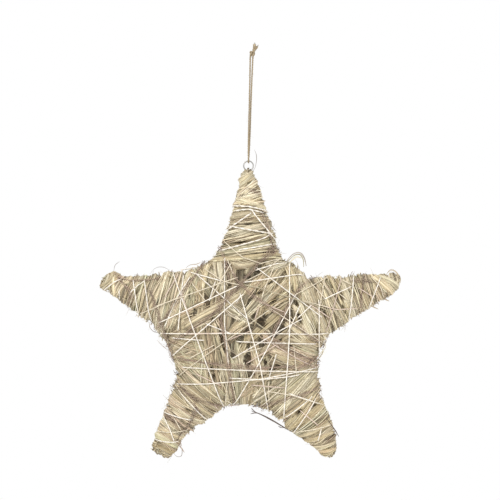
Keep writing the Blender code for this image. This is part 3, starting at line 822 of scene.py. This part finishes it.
# What lies uppermost in front: the same, and the straws across a bundle, its lift and its crown.
TOP_BUNDLES = [
    (192, 262, 173, 332, 9, 1.5, "straw", 8, -0.5, 1.2), (202, 262, 186, 318, 8, 1, "green", 8, -0.4, 1.2),
    (208, 258, 203, 292, 8, 0, "honey", 8, -0.2, 1.3), (220, 256, 222, 294, 10, 0, "cream", 9, 0, 1.6),
    (178, 330, 248, 289, 11, 1.5, "straw", 9, 0, 1.7), (172, 318, 206, 300, 7, 0, "tan", 7, -0.2, 1.2),
    (222, 301, 254, 324, 12, -1, "cream", 8, -0.1, 1.5), (231, 334, 250, 318, 7, 0, "honey", 7, -0.3, 1.2),
    (235, 322, 272, 288, 9, 0, "cream", 8, -0.1, 1.5), (252, 304, 282, 268, 8, 1, "straw", 8, 0, 1.5),
    (262, 312, 291, 292, 8, 0, "honey", 7, -0.2, 1.3), (244, 296, 266, 270, 8, 0, "tan", 7, -0.3, 1.2),
    (228, 262, 258, 264, 8, 0.5, "straw", 8, -0.2, 1.2), (264, 270, 292, 258, 9, 0, "cream", 8, 0.1, 1.4),
    (285, 262, 297, 298, 9, -0.5, "honey", 8, 0, 1.6), (297, 268, 308, 300, 8, 0, "green", 7, -0.2, 1.3),
    (292, 296, 314, 340, 11, -1, "cream", 7, 0.2, 2.2), (284, 318, 307, 344, 8, 0, "straw", 7, 0, 1.5),
    (307, 278, 319, 328, 9, 0, "straw", 8, -0.2, 1.3), (318, 280, 327, 322, 8, 0, "tan", 8, -0.3, 1.2),
    (272, 338, 320, 362, 9, 1, "pink", 9, -0.1, 1.3), (282, 334, 322, 352, 8, 1, "straw", 8, 0, 1.2),
    (268, 348, 316, 374, 9, 1, "tan", 8, -0.2, 1.3), (262, 328, 276, 350, 8, 0, "pink", 7, -0.2, 1.2),
    (250, 330, 240, 356, 7, 0, "honey", 7, -0.3, 1), (254, 342, 258, 372, 8, 0, "tan", 8, -0.2, 1.2),
    (268, 352, 262, 376, 7, 0, "green", 7, -0.3, 1), (240, 346, 244, 380, 7, 0, "cream", 7, -0.3, 1.1),
    (206, 322, 218, 402, 9, 0, "tan", 8, 0, 1.4), (214, 316, 229, 360, 7, 0, "straw", 7, 0, 1.3),
    (222, 356, 231, 404, 8, 0, "straw", 8, -0.1, 1.3), (198, 334, 210, 392, 8, 0, "green", 8, -0.1, 1.2),
    (232, 352, 239, 402, 8, 0, "green", 8, -0.3, 1.2), (238, 398, 256, 382, 7, 1, "tan", 8, -0.2, 1.2),
    (166, 350, 212, 402, 9, 1, "straw", 9, -0.1, 1.3), (160, 366, 200, 408, 9, 0, "tan", 9, -0.2, 1.3),
    (176, 346, 232, 402, 8, 2, "green", 8, -0.2, 1.2), (164, 338, 214, 352, 8, 0, "tan", 8, -0.2, 1.2),
    (165, 358, 208, 362, 7, 0, "honey", 7, -0.3, 1), (184, 352, 222, 372, 7, 0, "straw", 7, -0.3, 1.1),
    (248, 404, 290, 374, 8, 0, "straw", 9, -0.2, 1.2), (262, 406, 316, 362, 9, -1, "green", 9, -0.1, 1.4),
    (276, 410, 324, 374, 9, 0, "straw", 9, -0.1, 1.3), (240, 390, 270, 366, 7, 0, "honey", 8, -0.3, 1.1),
    (246, 382, 290, 368, 8, -1, "straw", 8, -0.1, 1.2), (284, 372, 318, 360, 7, 0, "tan", 7, -0.2, 1.1),
    (246, 364, 270, 370, 6, 0, "pink", 7, -0.2, 1), (252, 398, 268, 380, 7, 1, "cream", 8, -0.2, 1.1),
]


def strewn(ends, stray, facing):
    """A bundle's two ends as places of the photograph, strewn by chance if it is on the back."""
    ends = np.array(ends) + dice.normal(0, stray, 4) * (facing > 0)
    return ends[:2], ends[2:]


COVER_MIDDLE = np.array([246.0, 329.0])  # column and row
COVER_RADIUS = 78
COVER_STEP = 9
COVER_TURNS = (8, -58)  # degrees clockwise from straight up
COVER_SHADE = {-1.0: 0.28, 1.0: 0.5}  # painted shade, darker in front, where it shows only in gaps


def middle_bundles():
    """The deep layer over the front and the back of the middle, then the uppermost bundles, some turned."""
    deep, top = notch_bundles(), []
    for facing in (-1.0, 1.0):
        for turn in COVER_TURNS:
            way = np.array([math.sin(math.radians(turn)), -math.cos(math.radians(turn))])
            for offset in range(-7 * COVER_STEP, 8 * COVER_STEP, COVER_STEP):
                middle = COVER_MIDDLE + offset * np.array([way[1], -way[0]])
                half = math.sqrt(COVER_RADIUS**2 - offset**2)
                cloth = Face(middle - way * half, middle + way * half, 0.017, 0.0, facing)
                lift = -0.0027 + dice.uniform(0, 0.0006)
                tone = dice.choice(["tan", "honey", "green"])
                deep.append(sheaf(cloth, 9, 0, 1, lift, crown=0.0008, tone=tone, shade=COVER_SHADE[facing]))
        for *ends, width, bow, tone in DEEP_BUNDLES:
            first, last = strewn(ends, 2.0, facing)
            cloth = Face(first, last, width / 1000, bow / 1000, facing)
            lift = -0.0018 + dice.uniform(0, 0.0008)
            deep.append(sheaf(cloth, 12, 0, 1, lift, crown=0.0010, tone=tone, stops=20))
    for facing in (-1.0, 1.0):
        for *ends, width, bow, tone, straws, lift, crown in TOP_BUNDLES:
            first, last = strewn(ends, 3.0, facing)
            cloth = Face(first, last, width * 1.4 / 1000, bow / 1000, facing)
            stops = max(12, round(np.linalg.norm(at(*first) - at(*last)) / 0.0026))
            sunk = (lift - 0.7) / 1000
            top.append(sheaf(cloth, straws, 0, 1, sunk, crown / 1000, tone, stops=stops, shade=1.12))
            top.append(blades(cloth, 9, 0, 1, lift / 1000 + 0.0004, tone,
                              span=(0.35, 0.95), broad=(0.0006, 0.0014), lean=0.7))
    return deep, top


BED_DEPTH = 0.0036


def bed():
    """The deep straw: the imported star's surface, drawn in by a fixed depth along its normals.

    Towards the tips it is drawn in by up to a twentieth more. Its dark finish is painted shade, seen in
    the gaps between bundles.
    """
    mesh = bmesh.new()
    mesh.from_mesh(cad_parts["straw_star"].data)
    bmesh.ops.remove_doubles(mesh, verts=mesh.verts, dist=0.00002)
    points = np.array([v.co for v in mesh.verts])
    normals = np.array([v.normal for v in mesh.verts])
    faces = np.array([[v.index for v in f.verts] for f in mesh.faces])
    mesh.free()
    inner = points - normals * BED_DEPTH
    far = np.linalg.norm(inner - CENTRE, axis=1, keepdims=True)
    near_tip = np.clip((far - 0.13) / 0.02, 0, 1)
    inner = CENTRE + (inner - CENTRE) * (1 - 0.05 * near_tip)
    return piece("deep_straw_shaded", settled(inner), [faces], SHADED_BED)


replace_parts(bed(), "straw_star")
for arm in NAMES:
    batch_piece(f"straw_{arm}", arm_bundles(arm) + [curled_ends(arm, *CURLS[arm])], STRAW)
deep, top = middle_bundles()
batch_piece("straw_middle_inner", deep, STRAW)
batch_piece("straw_middle_outer", top, STRAW)


# Ties

def runs_of(text):
    """Runs through places of the photograph, each written "column,row column,row", with ; between runs."""
    return [[tuple(map(float, place.split(","))) for place in run.split()] for run in text.split(";")]


def turns_of(text):
    """Turns round the edge, each written "arm side share", with a comma between turns."""
    return [(arm, side, float(share)) for arm, side, share in map(str.split, text.split(","))]


# Where the ties turn round the edge, as in the part's source. The runs over the back join these turns.
VINE_TURNS = turns_of("""
    left left 0.49, left right 0.37, left left 0.79, top left 0.98, lower_left right 0.99, top right 0.86,
    top left 0.86, right right 0.96, right left 0.45, right right 0.36, right left 0.9,
    lower_right right 0.95, lower_right left 0.7, lower_right right 0.89, lower_right left 0.95,
    lower_left right 0.9, lower_left left 0.87, lower_left right 0.77, lower_left left 0.93, top left 0.92
""")
TWINE_TURNS = turns_of("""
    top left 0.4, top right 0.48, top left 0.58, top right 0.36, top left 0.66, top right 0.67,
    top left 0.8, top right 0.75, top left 0.72, right right 0.78, right left 0.6, right right 0.84,
    right left 0.5, right right 0.62, right left 0.22, right right 0.73, right left 0.94,
    lower_right right 0.985, lower_right left 0.82, lower_right right 0.44, lower_right left 0.35,
    lower_right right 0.53, lower_right left 0.9, lower_left right 0.83, lower_left left 0.62,
    lower_left right 0.71, lower_left left 0.46, lower_left right 0.25, lower_left left 0.82,
    left right 0.77, left left 0.72, left right 0.45, left left 0.56, right left 0.985, right right 0.88,
    left left 0.86, top right 0.96, lower_left right 0.95
""")
MORE_TWINE_TURNS = turns_of("""
    top left 0.44, top right 0.7, top left 0.9, top right 0.94, lower_left right 0.985, top right 0.9,
    left right 0.84, left left 0.66, left right 0.93, right left 0.7, right right 0.5, right left 0.38,
    right right 0.3, right left 0.98, lower_right right 0.8, lower_right left 0.75, lower_left left 0.9,
    left right 0.62, left left 0.9, right right 0.93, lower_left left 0.96, lower_left right 0.6,
    lower_left left 0.4, left right 0.97, lower_right left 0.6, lower_right right 0.7, right left 0.82,
    lower_left left 0.995
""")
VINE_RUNS = runs_of("""
    166,347 197,325 216,311 240,284 260,261 280,248; 220,246 228,267 241,285 262,302 284,316 320,342;
    218,292 224,335 229,362 235,408; 309,276 296,291 273,329 271,338 290,349 316,362;
    176,357 230,364 262,366 320,364; 296,369 325,350; 207,258 180,298 156,330;
    149,286 157,303 160,322 165,343 173,361; 351,280 354,276 363,275.5 371,276 377,281; 364,272 358,312;
    373,278 382,293 386,305; 254,408 290,396 320,387; 168,383 196,396 228,408; 174,376 193,396 201,413;
    117,273 134,294 124,314; 113,274 122,275 143,275 160,275; 262,208 268,224 270,238 275,254;
    233,205 238,195 247,189 261,194; 197,403 194,420 184,436 176,445; 166,414 174,418 184,423;
    224,262 230,280; 262,262 268,250 274,246
""")
TWINE_RUNS = runs_of("""
    231,206 250,207 271,211; 229,211.5 248,209.5 266,213; 226,230 252,213; 251,209 276,241;
    226,226 273,234; 219,251 263,239 277,230; 238,250 280,243; 218,236 242,257 263,264;
    225,256 225,284 224,312 229,364; 227,258 234,275; 204,268 224,281 243,285; 190,272 224,281;
    243,282 304,273; 243,282 265,271 283,255; 258,264 284,257; 274,266 265,286 260,302;
    243,284 292,294 330,311; 256,267 293,295 322,317; 196,273 222,295 249,319; 228,300 251,318 273,334;
    240,292 256,341 270,420; 289,262 289,333 283,420; 293,295 328,276; 280,301 250,321 178,375;
    171,266 225,410; 191,276 178,297 165,327; 184,275 179,330; 156,306 196,290 238,277; 158,323 238,285;
    170,357 244,293; 159,333 250,331 336,334; 172,337 206,339; 259,305 254,320; 300,303 287,332;
    296,292 262,356 231,410; 303,317 268,335 232,357; 268,306 322,342; 318,299 319,360;
    174,383 239,381 322,366; 181,366 240,368 322,371; 228,376 270,378 300,373; 172,382 196,406;
    228,377 225,408; 232,378 237,402; 262,336 298,358 322,370; 265,389 290,393 325,404; 281,387 258,408;
    293,343 296,374; 216,280 210,300; 241,294 236,303; 225,340 252,329; 134,274 139,318; 145,274 151,322;
    104,291 122,276; 130,294 146,275; 120,288 119,303; 179,274 165,298; 192,282 206,300; 353,272 348,326;
    341,274 326,332; 325,274 318,310; 322,299 351,285; 319,304 329,309 357,308; 357,287 374,298;
    341,277 352,284; 380,274 366,314; 337,292 347,300; 370,274 379,285 385,304; 302,300 330,307;
    287,391 322,403; 313,394 284,417; 316,397 293,432; 299,408 318,424; 292,432 335,423; 321,426 317,440;
    180,390 211,423; 162,411 194,419; 163,414 171,428 176,442; 152,430.5 192,430.5; 174,415 183,430;
    214,403 222,413; 150,438 181,442; 236,340 316,343; 184,333 232,331; 246,362 279,341; 268,379 269,403;
    251,383 285,386; 182,290 190,316; 212,296 232,262; 255,270 281,262 300,262; 304,300 330,318;
    296,318 313,302; 276,352 268,378; 190,357 216,343; 239,352 262,346; 196,372 222,384; 250,404 276,384;
    206,322 233,333; 140,314 181,296; 372,276 380,286 384,300; 282,344 308,356; 258,300 286,312;
    168,300 180,322; 310,282 326,300
""")


def stop_place(stop, stand):
    """Where a tie turns from the front to the back: the edge, moved out of the straw by its stand."""
    arm, word, share = stop
    side = 1 if word == "right" else -1
    here = edge(arm, side, share)
    run = unit(edge(arm, side, min(share + 0.01, 1.0)) - edge(arm, side, share - 0.01))
    outward = unit(np.cross(run, FRONT) * side)
    moved = here + outward * 0.004 - CENTRE
    if moved @ moved <= (here - CENTRE) @ (here - CENTRE):
        outward = -outward
    off = 0.02
    far = skin.reach((here + outward * off)[None], -outward[None])[0]
    return here + outward * (off - far + stand)


def upper_hull(points):
    """The upper convex hull of (distance, height) points, from left to right: the shape of a taut line."""
    hull = []
    for x, y in points:
        while len(hull) > 1:
            (x1, y1), (x2, y2) = hull[-2:]
            if (x2 - x1) * (y - y1) < (y2 - y1) * (x - x1):
                break
            hull.pop()
        hull.append((x, y))
    return np.array(hull)


def back_runs(stops, stand, spacing):
    """A tie's runs over the back, taut between two turns at the edge, each ending on the edge itself."""
    places = [stop_place(stop, stand) for stop in stops]
    share = 0.5 - 0.5 * np.cos(math.pi * np.arange(1, 60) / 60)[:, None]
    runs = []
    for start, end in zip(places[1::2], places[2::2]):
        spots = start + (end - start) * share
        tall = skin.height(spots, FRONT)
        length = np.linalg.norm(end - start)
        keep = (tall > 0) & (tall < MISSED)
        profile = [(0.0, 0.0), *zip(share[keep, 0] * length, tall[keep] + stand), (length, 0.0)]
        far, high = upper_hull(profile).T
        line = start + (end - start) / length * far[:, None] - FRONT * high[:, None]
        runs.append(relaxed(evenly(line, spacing), 2))
    return runs


def front_run(places, stand, spacing):
    """A tie over the front, taut from its first to its last place and straight between each two.

    Where the line passes the star's edge it turns round it and goes under the straw behind. An end on the
    star itself goes under the straw in front.
    """
    corners = np.array([at(*p) for p in places])
    line = evenly(corners, 0.001)
    high = skin.height(line, -FRONT)
    on = np.nonzero(high < MISSED)[0]
    first, last = on[0], on[-1]
    far = np.arange(len(line)) * np.linalg.norm(line[1] - line[0])
    sunk = 0.0032
    start = (far[first] - stand / 2, 0.0) if first else (far[0], high[0] - sunk)
    end = (far[last] + stand / 2, 0.0) if last < len(line) - 1 else (far[-1], high[-1] - sunk)
    held = on[1:-1] if len(on) > 2 else on
    steps, tall = upper_hull([start, *zip(far[held], high[held] + stand), end]).T
    flat = np.stack([np.interp(steps, far, line[:, i]) for i in range(3)], 1)
    path = [flat + FRONT * tall[:, None]]
    ends = (
        (bool(first), flat[0], line[first + 3] - line[first]),
        (last < len(line) - 1, flat[-1], line[last - 3] - line[last]),
    )
    for past, here, inward in ends:
        if past:
            spots = here + unit(inward) * np.array([[0.004], [0.012]])
            behind = skin.height(spots, FRONT)
            behind = np.where(behind < MISSED, behind, 0.004) + [stand, -0.002]
            path.append(spots - FRONT * behind[:, None])
    if first:
        path = [path[1][::-1], path[0], *path[2:]]
    return relaxed(evenly(np.concatenate(path), spacing), 3)


def standing(line):
    """An up direction at every point of a line: away from the star's middle, across the line's run."""
    near = line - CENTRE
    near[:, 1] *= 4
    return unit(near)


def strands_round(line, count, apart, lay, wide, thick, sides=4, loose=0.0):
    """Strands twisted round a line: each at a radius, one turn in every lay, and astray by a slow wave."""
    ahead = unit(np.gradient(line, axis=0))
    side = unit(np.cross(ahead, standing(line)))
    lift = np.cross(side, ahead)
    far = way_along(line)
    phase = TURN * np.arange(count)[:, None] / count + TURN * far / lay
    radius = apart * (1 + loose * np.sin(TURN * far / (lay * 2.3) + TURN * dice.random((count, 1))))
    lines = line + radius[..., None] * (np.cos(phase)[..., None] * side + np.sin(phase)[..., None] * lift)
    return tubes(lines, np.broadcast_to(standing(line), lines.shape), wide, thick, sides, phase)


def hairs(places, ways, length, curl, tone, wide=0.00022, stops=6):
    """Fine hairs: each leaves its place along its way and curls by a quadratic towards a chance direction."""
    n = len(places)
    t = np.linspace(0, 1, stops)[None, :, None]
    size = dice.uniform(0.4, 1.0, (n, 1, 1)) * length
    bend = unit(dice.normal(0, 1, (n, 3)))[:, None]
    lines = places[:, None] + ways[:, None] * size * t + bend * size * curl * t**2 * (1.3 - 0.5 * t)
    taper = wide * (1 - 0.6 * t[..., 0])
    tones = np.concatenate([TONES[tone][:3] * dice.uniform(0.75, 1.15, (n, 1)), np.ones((n, 1))], 1)
    up = unit(dice.normal(0, 1, (n, 3)))[:, None] + 0 * lines
    return tubes(lines, up, taper, taper, 3), tones


def one_tone(batch, tone, spread=0.0):
    n = batch[0].shape[0]
    return batch, np.concatenate([TONES[tone][:3] * (1 + dice.normal(0, spread, (n, 1))), np.ones((n, 1))], 1)


VINE_SPACING = 0.0022
VINE_HAIRS = 1800
vines = back_runs(VINE_TURNS, stand=0.0015, spacing=VINE_SPACING)
vines += [front_run(places, stand=0.0014, spacing=VINE_SPACING) for places in VINE_RUNS]
vine_parts = []
for line in vines:
    batch = strands_round(line, count=6, apart=0.0013, lay=0.033, wide=0.0005, thick=0.0004, loose=0.9)
    vine_parts.append(one_tone(batch, "mauve", 0.25))
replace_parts(batch_piece("brown_vine_strands", vine_parts, BROWN), "brown_vine")
spots = np.concatenate([line[1:-1] for line in vines])
run = np.concatenate([unit(line[2:] - line[:-2]) for line in vines])
pick = dice.integers(0, len(spots), VINE_HAIRS)
up = standing(spots[pick]) * dice.uniform(0.0, 0.35, (VINE_HAIRS, 1))
onward = run[pick] * dice.choice([-1, 1], (VINE_HAIRS, 1))
way = unit(up + onward + dice.normal(0, 0.3, (VINE_HAIRS, 3)))
batch = hairs(spots[pick], way, length=0.0065, curl=0.4, tone="mauve", wide=0.00024, stops=5)
batch_piece("vine_hairs", [batch], BROWN)


def twine_stand(places):
    """How high a run of twine lies: by chance, and higher on the outer arms, whose bands stand proud."""
    far = np.linalg.norm(at(*places[0]) + at(*places[-1]) - 2 * CENTRE) / 2
    return dice.uniform(0.0019, 0.0026) + (0.0011 if far > 0.095 else 0.0)


TWINE_SPACING = 0.0016
TWINE_LAY = 0.013
LONG_RUN = 80  # points
UPPER_ROW = 250  # above this the twine is whiter and wider
twines = [run for turns in (TWINE_TURNS, MORE_TWINE_TURNS) for run in back_runs(turns, 0.0018, TWINE_SPACING)]
twines += [front_run(places, twine_stand(places), 0.0018) for places in TWINE_RUNS]
twine_parts = []
for line in twines:
    far = np.arange(len(line)) * TWINE_SPACING
    upper = line[:, 2].mean() > at(0, UPPER_ROW)[2]
    tone = "white"
    if not upper and len(line) <= LONG_RUN:
        tone = dice.choice(["white", "cream", "twine", "rose"], p=[0.45, 0.10, 0.33, 0.12])
    wide = 0.0018 if upper else 0.00132 if tone == "white" else 0.00115
    batch = tubes(line[None], standing(line)[None], wide, 0.0010, 6, (TURN * far / TWINE_LAY)[None])
    twine_parts.append(one_tone(batch, tone, 0.03))
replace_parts(batch_piece("white_twine_strand", twine_parts, WHITE), "white_twine")


# Hanging gear

def torus(name, centre, radius, wire, steps, sides, finish):
    """A ring in the star's plane: its centre circle's cosine and sine, and round that the wire's own."""
    a, b = TURN * np.arange(steps) / steps, TURN * np.arange(sides) / sides
    out = np.stack([np.cos(a), 0 * a, np.sin(a)], 1)[:, None]
    points = centre + out * (radius + wire * np.cos(b)[:, None]) + FRONT * (wire * np.sin(b))[:, None]
    index = np.arange(steps * sides).reshape(steps, sides)
    over = np.roll(index, -1, 0)
    faces = np.stack([index, np.roll(index, -1, 1), np.roll(over, -1, 1), over], -1).reshape(-1, 4)
    strand = np.stack(np.broadcast_arrays((a * radius)[:, None], b / TURN, 0.5), -1)
    return piece(name, points, [faces], finish, strand=strand)


ring = torus("wire_ring", RING_CENTRE, RING_RADIUS, RING_WIRE / 2, 72, 16, STEEL)
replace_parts(ring, "hanging_ring")


CORD_CLEARANCE = 0.0003


def cord_route():
    """One strand down from the knot, a bight under the ring's wire, and the other strand back up."""
    bend = 2 * CORD_DIAMETER
    start = -(CORD_CLEARANCE + CORD_DIAMETER / 2)
    bottom = RING_CENTRE[2] + RING_RADIUS - RING_WIRE / 2 - CORD_CLEARANCE - CORD_DIAMETER / 2 + bend
    shares = (0.0, 0.08, 0.25, 0.45, 0.65, 0.82, 0.93)
    apart = [max(STRAND_SPACING / 2 * (1 - 1.1 * s), 0.00078 * (1 - s**8)) for s in shares]
    down = [(CORD_LEAN * s - x, -bend * s**2, start + (bottom - start) * s) for s, x in zip(shares, apart)]
    angles = np.radians([-90, -60, -30, 0, 30, 60, 90])
    turn = [(CORD_LEAN, bend * math.sin(a), bottom - bend * math.cos(a)) for a in angles]
    up = [(2 * CORD_LEAN * s - x, -y, z) for (x, y, z), s in zip(down, shares)]
    return down + turn + up[::-1]


JUTE_LAY = 0.0046
PLY_RADIUS = 0.00038
PLY_WIDE = 0.00092
CORD_HAIRS = 420
route = smooth_line(cord_route(), 0.0006)
ahead = unit(np.gradient(route, axis=0))
steady = np.broadcast_to([1.0, 0.0, 0.0], route.shape)
side = unit(np.cross(ahead, steady))
lift = np.cross(side, ahead)
far = way_along(route)
plies = []
for ply in range(2):
    phase = TURN * far / JUTE_LAY + math.pi * ply
    plies.append(route + PLY_RADIUS * (np.cos(phase)[:, None] * side + np.sin(phase)[:, None] * lift))
plies = np.array(plies)
batch = tubes(plies, np.broadcast_to(steady, plies.shape), PLY_WIDE, PLY_WIDE, 6)
fuzz_at = dice.integers(4, len(route) - 4, CORD_HAIRS)
fuzz_way = ahead[fuzz_at] * dice.choice([-1, 1], (CORD_HAIRS, 1)) + dice.normal(0, 0.35, (CORD_HAIRS, 3))
cord = batch_piece("jute_cord", [one_tone(batch, "jute")], JUTE, shifted=False)
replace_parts(cord, "hanging_cord")
batch = hairs(route[fuzz_at], unit(fuzz_way), length=0.0035, curl=0.35, tone="jute", wide=0.00012, stops=5)
fuzz = batch_piece("jute_fuzz", [batch], JUTE, shifted=False)


def knot_parts():
    """The overhand knot: a trefoil, twice round its ring and three times round its tube."""
    a = np.linspace(0, TURN, 90)
    round_it = 0.0012 + 0.00062 * np.cos(1.5 * 2 * a)
    trefoil = np.stack([round_it * np.cos(2 * a), round_it * np.sin(2 * a) * 0.9, 0.0015 * np.sin(3 * a)], 1)
    trefoil = trefoil * [1.2, 1.1, 1.3] + [0.0006, 0, KNOT_HEIGHT / 2]
    lines = [
        trefoil,
        [(-0.0013, 0, -0.0008), (-0.0010, 0.0003, 0.001), (0.0002, 0.0006, 0.003), (0.0016, 0.0002, 0.006),
         (0.0026, 0, 0.0092), (0.0030, 0.0002, 0.0126)],
        [(0.0013, 0, -0.0008), (0.0014, -0.0003, 0.001), (0.0012, -0.0004, 0.003), (0.0026, 0, 0.006),
         (0.0042, 0, 0.0084), (0.0056, -0.0002, 0.0104)],
    ]
    made = []
    for line, wide, spread in zip(lines, (0.0019, 0.0020, 0.0020), (0.0, 0.0014, 0.0014)):
        line = smooth_line(line, 0.0004)
        wide = (wide + spread * np.linspace(0, 1, len(line)) ** 2)[None]
        up = np.broadcast_to([0.3, 1.0, 0.2], line.shape)[None]
        far = np.arange(len(line)) * 0.0004
        batch = tubes(line[None], up, wide, wide * 0.75, 8, (TURN * far / JUTE_LAY)[None])
        made.append(one_tone(batch, "jute", 0.05))
    fray = 22  # hairs at each tail
    ends = np.array([(0.0029, 0.0002, 0.0118), (0.0054, 0, 0.0100)]).repeat(fray, 0)
    ends = ends + dice.normal(0, 0.0004, ends.shape)
    ways = np.array([(0.1, 0.0, 1.0), (0.5, 0.0, 0.8)]).repeat(fray, 0)
    ways = unit(ways + dice.normal(0, 0.22, ways.shape))
    made.append(hairs(ends, ways, length=0.0026, curl=0.3, tone="jute", wide=0.0003, stops=5))
    return made


knot = batch_piece("jute_knot", knot_parts(), JUTE, shifted=False)
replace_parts(knot, "cord_knot")


# Loose bits

def loose(name, text, finish, slot):
    """Single strands along places of the photograph: "tone width thickness: column,row,depth ...; tone ...".

    Widths, thicknesses and depths are millimetres.
    """
    made = []
    for entry in text.split(";"):
        kind, places = entry.split(":")
        tone, wide, thick = kind.split()
        spots = [[float(number) for number in place.split(",")] for place in places.split()]
        line = smooth_line([at(column, row, depth / 1000) for column, row, depth in spots], 0.0012)
        t = np.linspace(0, 1, len(line))
        size = np.clip(np.minimum(t + 0.3, (1 - t) * 2 + 0.35), 0, 1)[None]
        up = np.broadcast_to([0.2, -1.0, 0.3], line.shape)[None]
        batch = tubes(line[None], up, float(wide) / 1000 * size, float(thick) / 1000 * size, 5)
        made.append(one_tone(batch, tone))
    return batch_piece(name, made, finish, shifted=False)


loose("dark_twig", """
    dark 1.7 1.4: 303,437,2 297,434,0 289,430,-1 283,426.5,-2 274,421,-3 265,416,-4 258,412.8,-4
        251.5,410.5,-4;
    dark 1 1: 259,413,-4 254,412.6,-4 250.5,413.5,-4;
    dark 1 1: 256,411.8,-4 252.5,409,-4.5 251.5,407.5,-5;
    dark 0.9 0.9: 285,427.5,-2 281,427.3,-2 278,425.5,-3
""", TWIG, "brown_vine")
loose("loose_straw", """
    grey 1.6 0.6: 284,266,-7 288,259,-9 294,253.5,-10 300,253,-9 304,258,-7 306,266,-5;
    green 1.4 0.6: 285,267,-6 289,260,-8 295,255,-9 300,255,-8 303,260,-7 303.5,267,-5;
    cream 1.8 0.6: 286,268,-8 290,262,-10 296,257,-10 301,258,-9;
    tan 0.9 0.5: 384,277,-4 389,271,-6 394,271,-6 397.5,276,-5 397,285,-2;
    shade 0.9 0.5: 386,275,2 391,269.5,2 396.5,272,1 400,279,0 397,288,0;
    straw 0.7 0.4: 390,276,-2 394,273,-3 399,275,-2 400.5,281,-1 398,287,0;
    white 1.2 0.5: 318,333,-6 324,336,-8 327.5,343,-8 326,350,-8 320,356,-6;
    cream 1 0.5: 319,336,-4 324,341,-6 325,347,-6 321,352,-6 316,358,-5;
    straw 1.4 0.5: 319,348,-3 323,350,-4 321,355,-4 317,360,-3;
    shade 1.2 0.7: 366,304,-4 371,306,-4 378,309,-3;
    shade 1.3 0.7: 380,297,-3 384,299,-3 389,301,-2;
    shade 0.8 0.5: 186,268,-2 190,265,-4 197,264,-5 201,262,-4
""", STRAW, "straw")
loose("loose_fibres", """
    grey 0.7 0.5: 252,172,-3 255,168,-6 256.5,161,-6 256.3,155,-5 254.5,150,-4;
    grey 0.6 0.4: 114,273,-2 114.5,268,-3 116,264.5,-4 120,261.5,-4;
    dark 1.3 0.8: 326,417,-8 331,424,-8 335,430,-6 338.5,436,-4;
    grey 0.7 0.5: 173,452,-3 177,456,-3 181.5,455.5,-2 182,449,-1 179,445,0;
    mauve 1.3 0.8: 176,440,-6 179,444,-6 182,448,-5 184.5,452,-4;
    grey 0.5 0.5: 150,274,-6 156,268,-6 163,267,-6 170,270,-6;
    grey 0.7 0.5: 151,321,-4 150,326,-7 154,331,-8 161,333,-7;
    grey 0.7 0.5: 264,222,-8 270,224,-8 273,228,-6 276,231,-4;
    mauve 0.9 0.6: 176,435,-3 180,440,-5 182,446,-4;
    mauve 0.6 0.5: 157,340,-2 162,345,-4 168,350,-3;
    mauve 0.6 0.5: 382,297,-2 377,303,-2 372,305,-1
""", BROWN, "brown_vine")


def edge_hairs(count):
    """Stray straw hairs at chance places of the star's edge, lying nearly along it."""
    places, ways = [], []
    for _ in range(count):
        arm, side, share = dice.choice(NAMES), dice.choice([-1, 1]), dice.uniform(0.06, 0.97)
        here, ahead = edge(arm, side, share), edge(arm, side, share + 0.02)
        run = unit(ahead - here)
        out = unit(here - CENTRE)
        places.append(here + FRONT * dice.uniform(-0.009, 0.009))
        ways.append(unit(run * dice.choice([-1, 1]) + out * dice.uniform(0.1, 0.9) + dice.normal(0, 0.25, 3)))
    return np.array(places), np.array(ways)


EDGE_HAIRS = 180
places, ways = edge_hairs(EDGE_HAIRS)
batch = hairs(places, ways, length=0.008, curl=0.55, tone="tan", wide=0.0003)
batch_piece("straw_hairs", [batch], STRAW)


# Studio

def flat_finish(name, colour, rough):
    return Recipe(name).finish(Base_Color=colour, Roughness=rough)


def floor():
    """A wide pale floor, well below the star: a flat disc of many sides."""
    sides, radius, down = 48, 1.1, 0.62
    a = TURN * np.arange(sides) / sides
    points = np.stack([radius * np.cos(a), radius * np.sin(a), 0 * a - down], 1)
    pale = flat_finish("pale floor", (0.93, 0.93, 0.92, 1.0), 0.9)
    made = piece("floor", points, [np.arange(sides)[None]], pale, smooth=False)


def lamp(name, place, size, power, aim):
    data = bpy.data.lights.new(name, "AREA")
    data.size, data.energy = size, power
    obj = bpy.data.objects.new(name, data)
    obj.location = place
    obj.rotation_euler = (Vector(aim) - Vector(place)).to_track_quat("-Z", "Y").to_euler()
    bpy.context.scene.collection.objects.link(obj)


floor()
world = bpy.data.worlds.new("white studio")
bpy.context.scene.world = world
world.use_nodes = True
world.node_tree.nodes["Background"].inputs["Color"].default_value = (1.0, 1.0, 1.0, 1.0)
world.node_tree.nodes["Background"].inputs["Strength"].default_value = 1.0
middle = tuple(CENTRE)
lamp("key", (-0.7, -1.2, 0.7), 0.5, 14.0, middle)
lamp("fill", (1.1, -1.0, 0.0), 1.0, 5.0, middle)
bpy.context.scene.view_settings.view_transform = "Standard"

camera = bpy.data.cameras.new("camera")
camera.lens, camera.sensor_width = 108.0, 36.0
camera.clip_end = 30.0
eye = bpy.data.objects.new("camera", camera)
eye.location = (-0.0015, -1.5, -0.193)
eye.rotation_euler = (math.pi / 2, 0.0, 0.0)
bpy.context.scene.collection.objects.link(eye)
bpy.context.scene.camera = eye
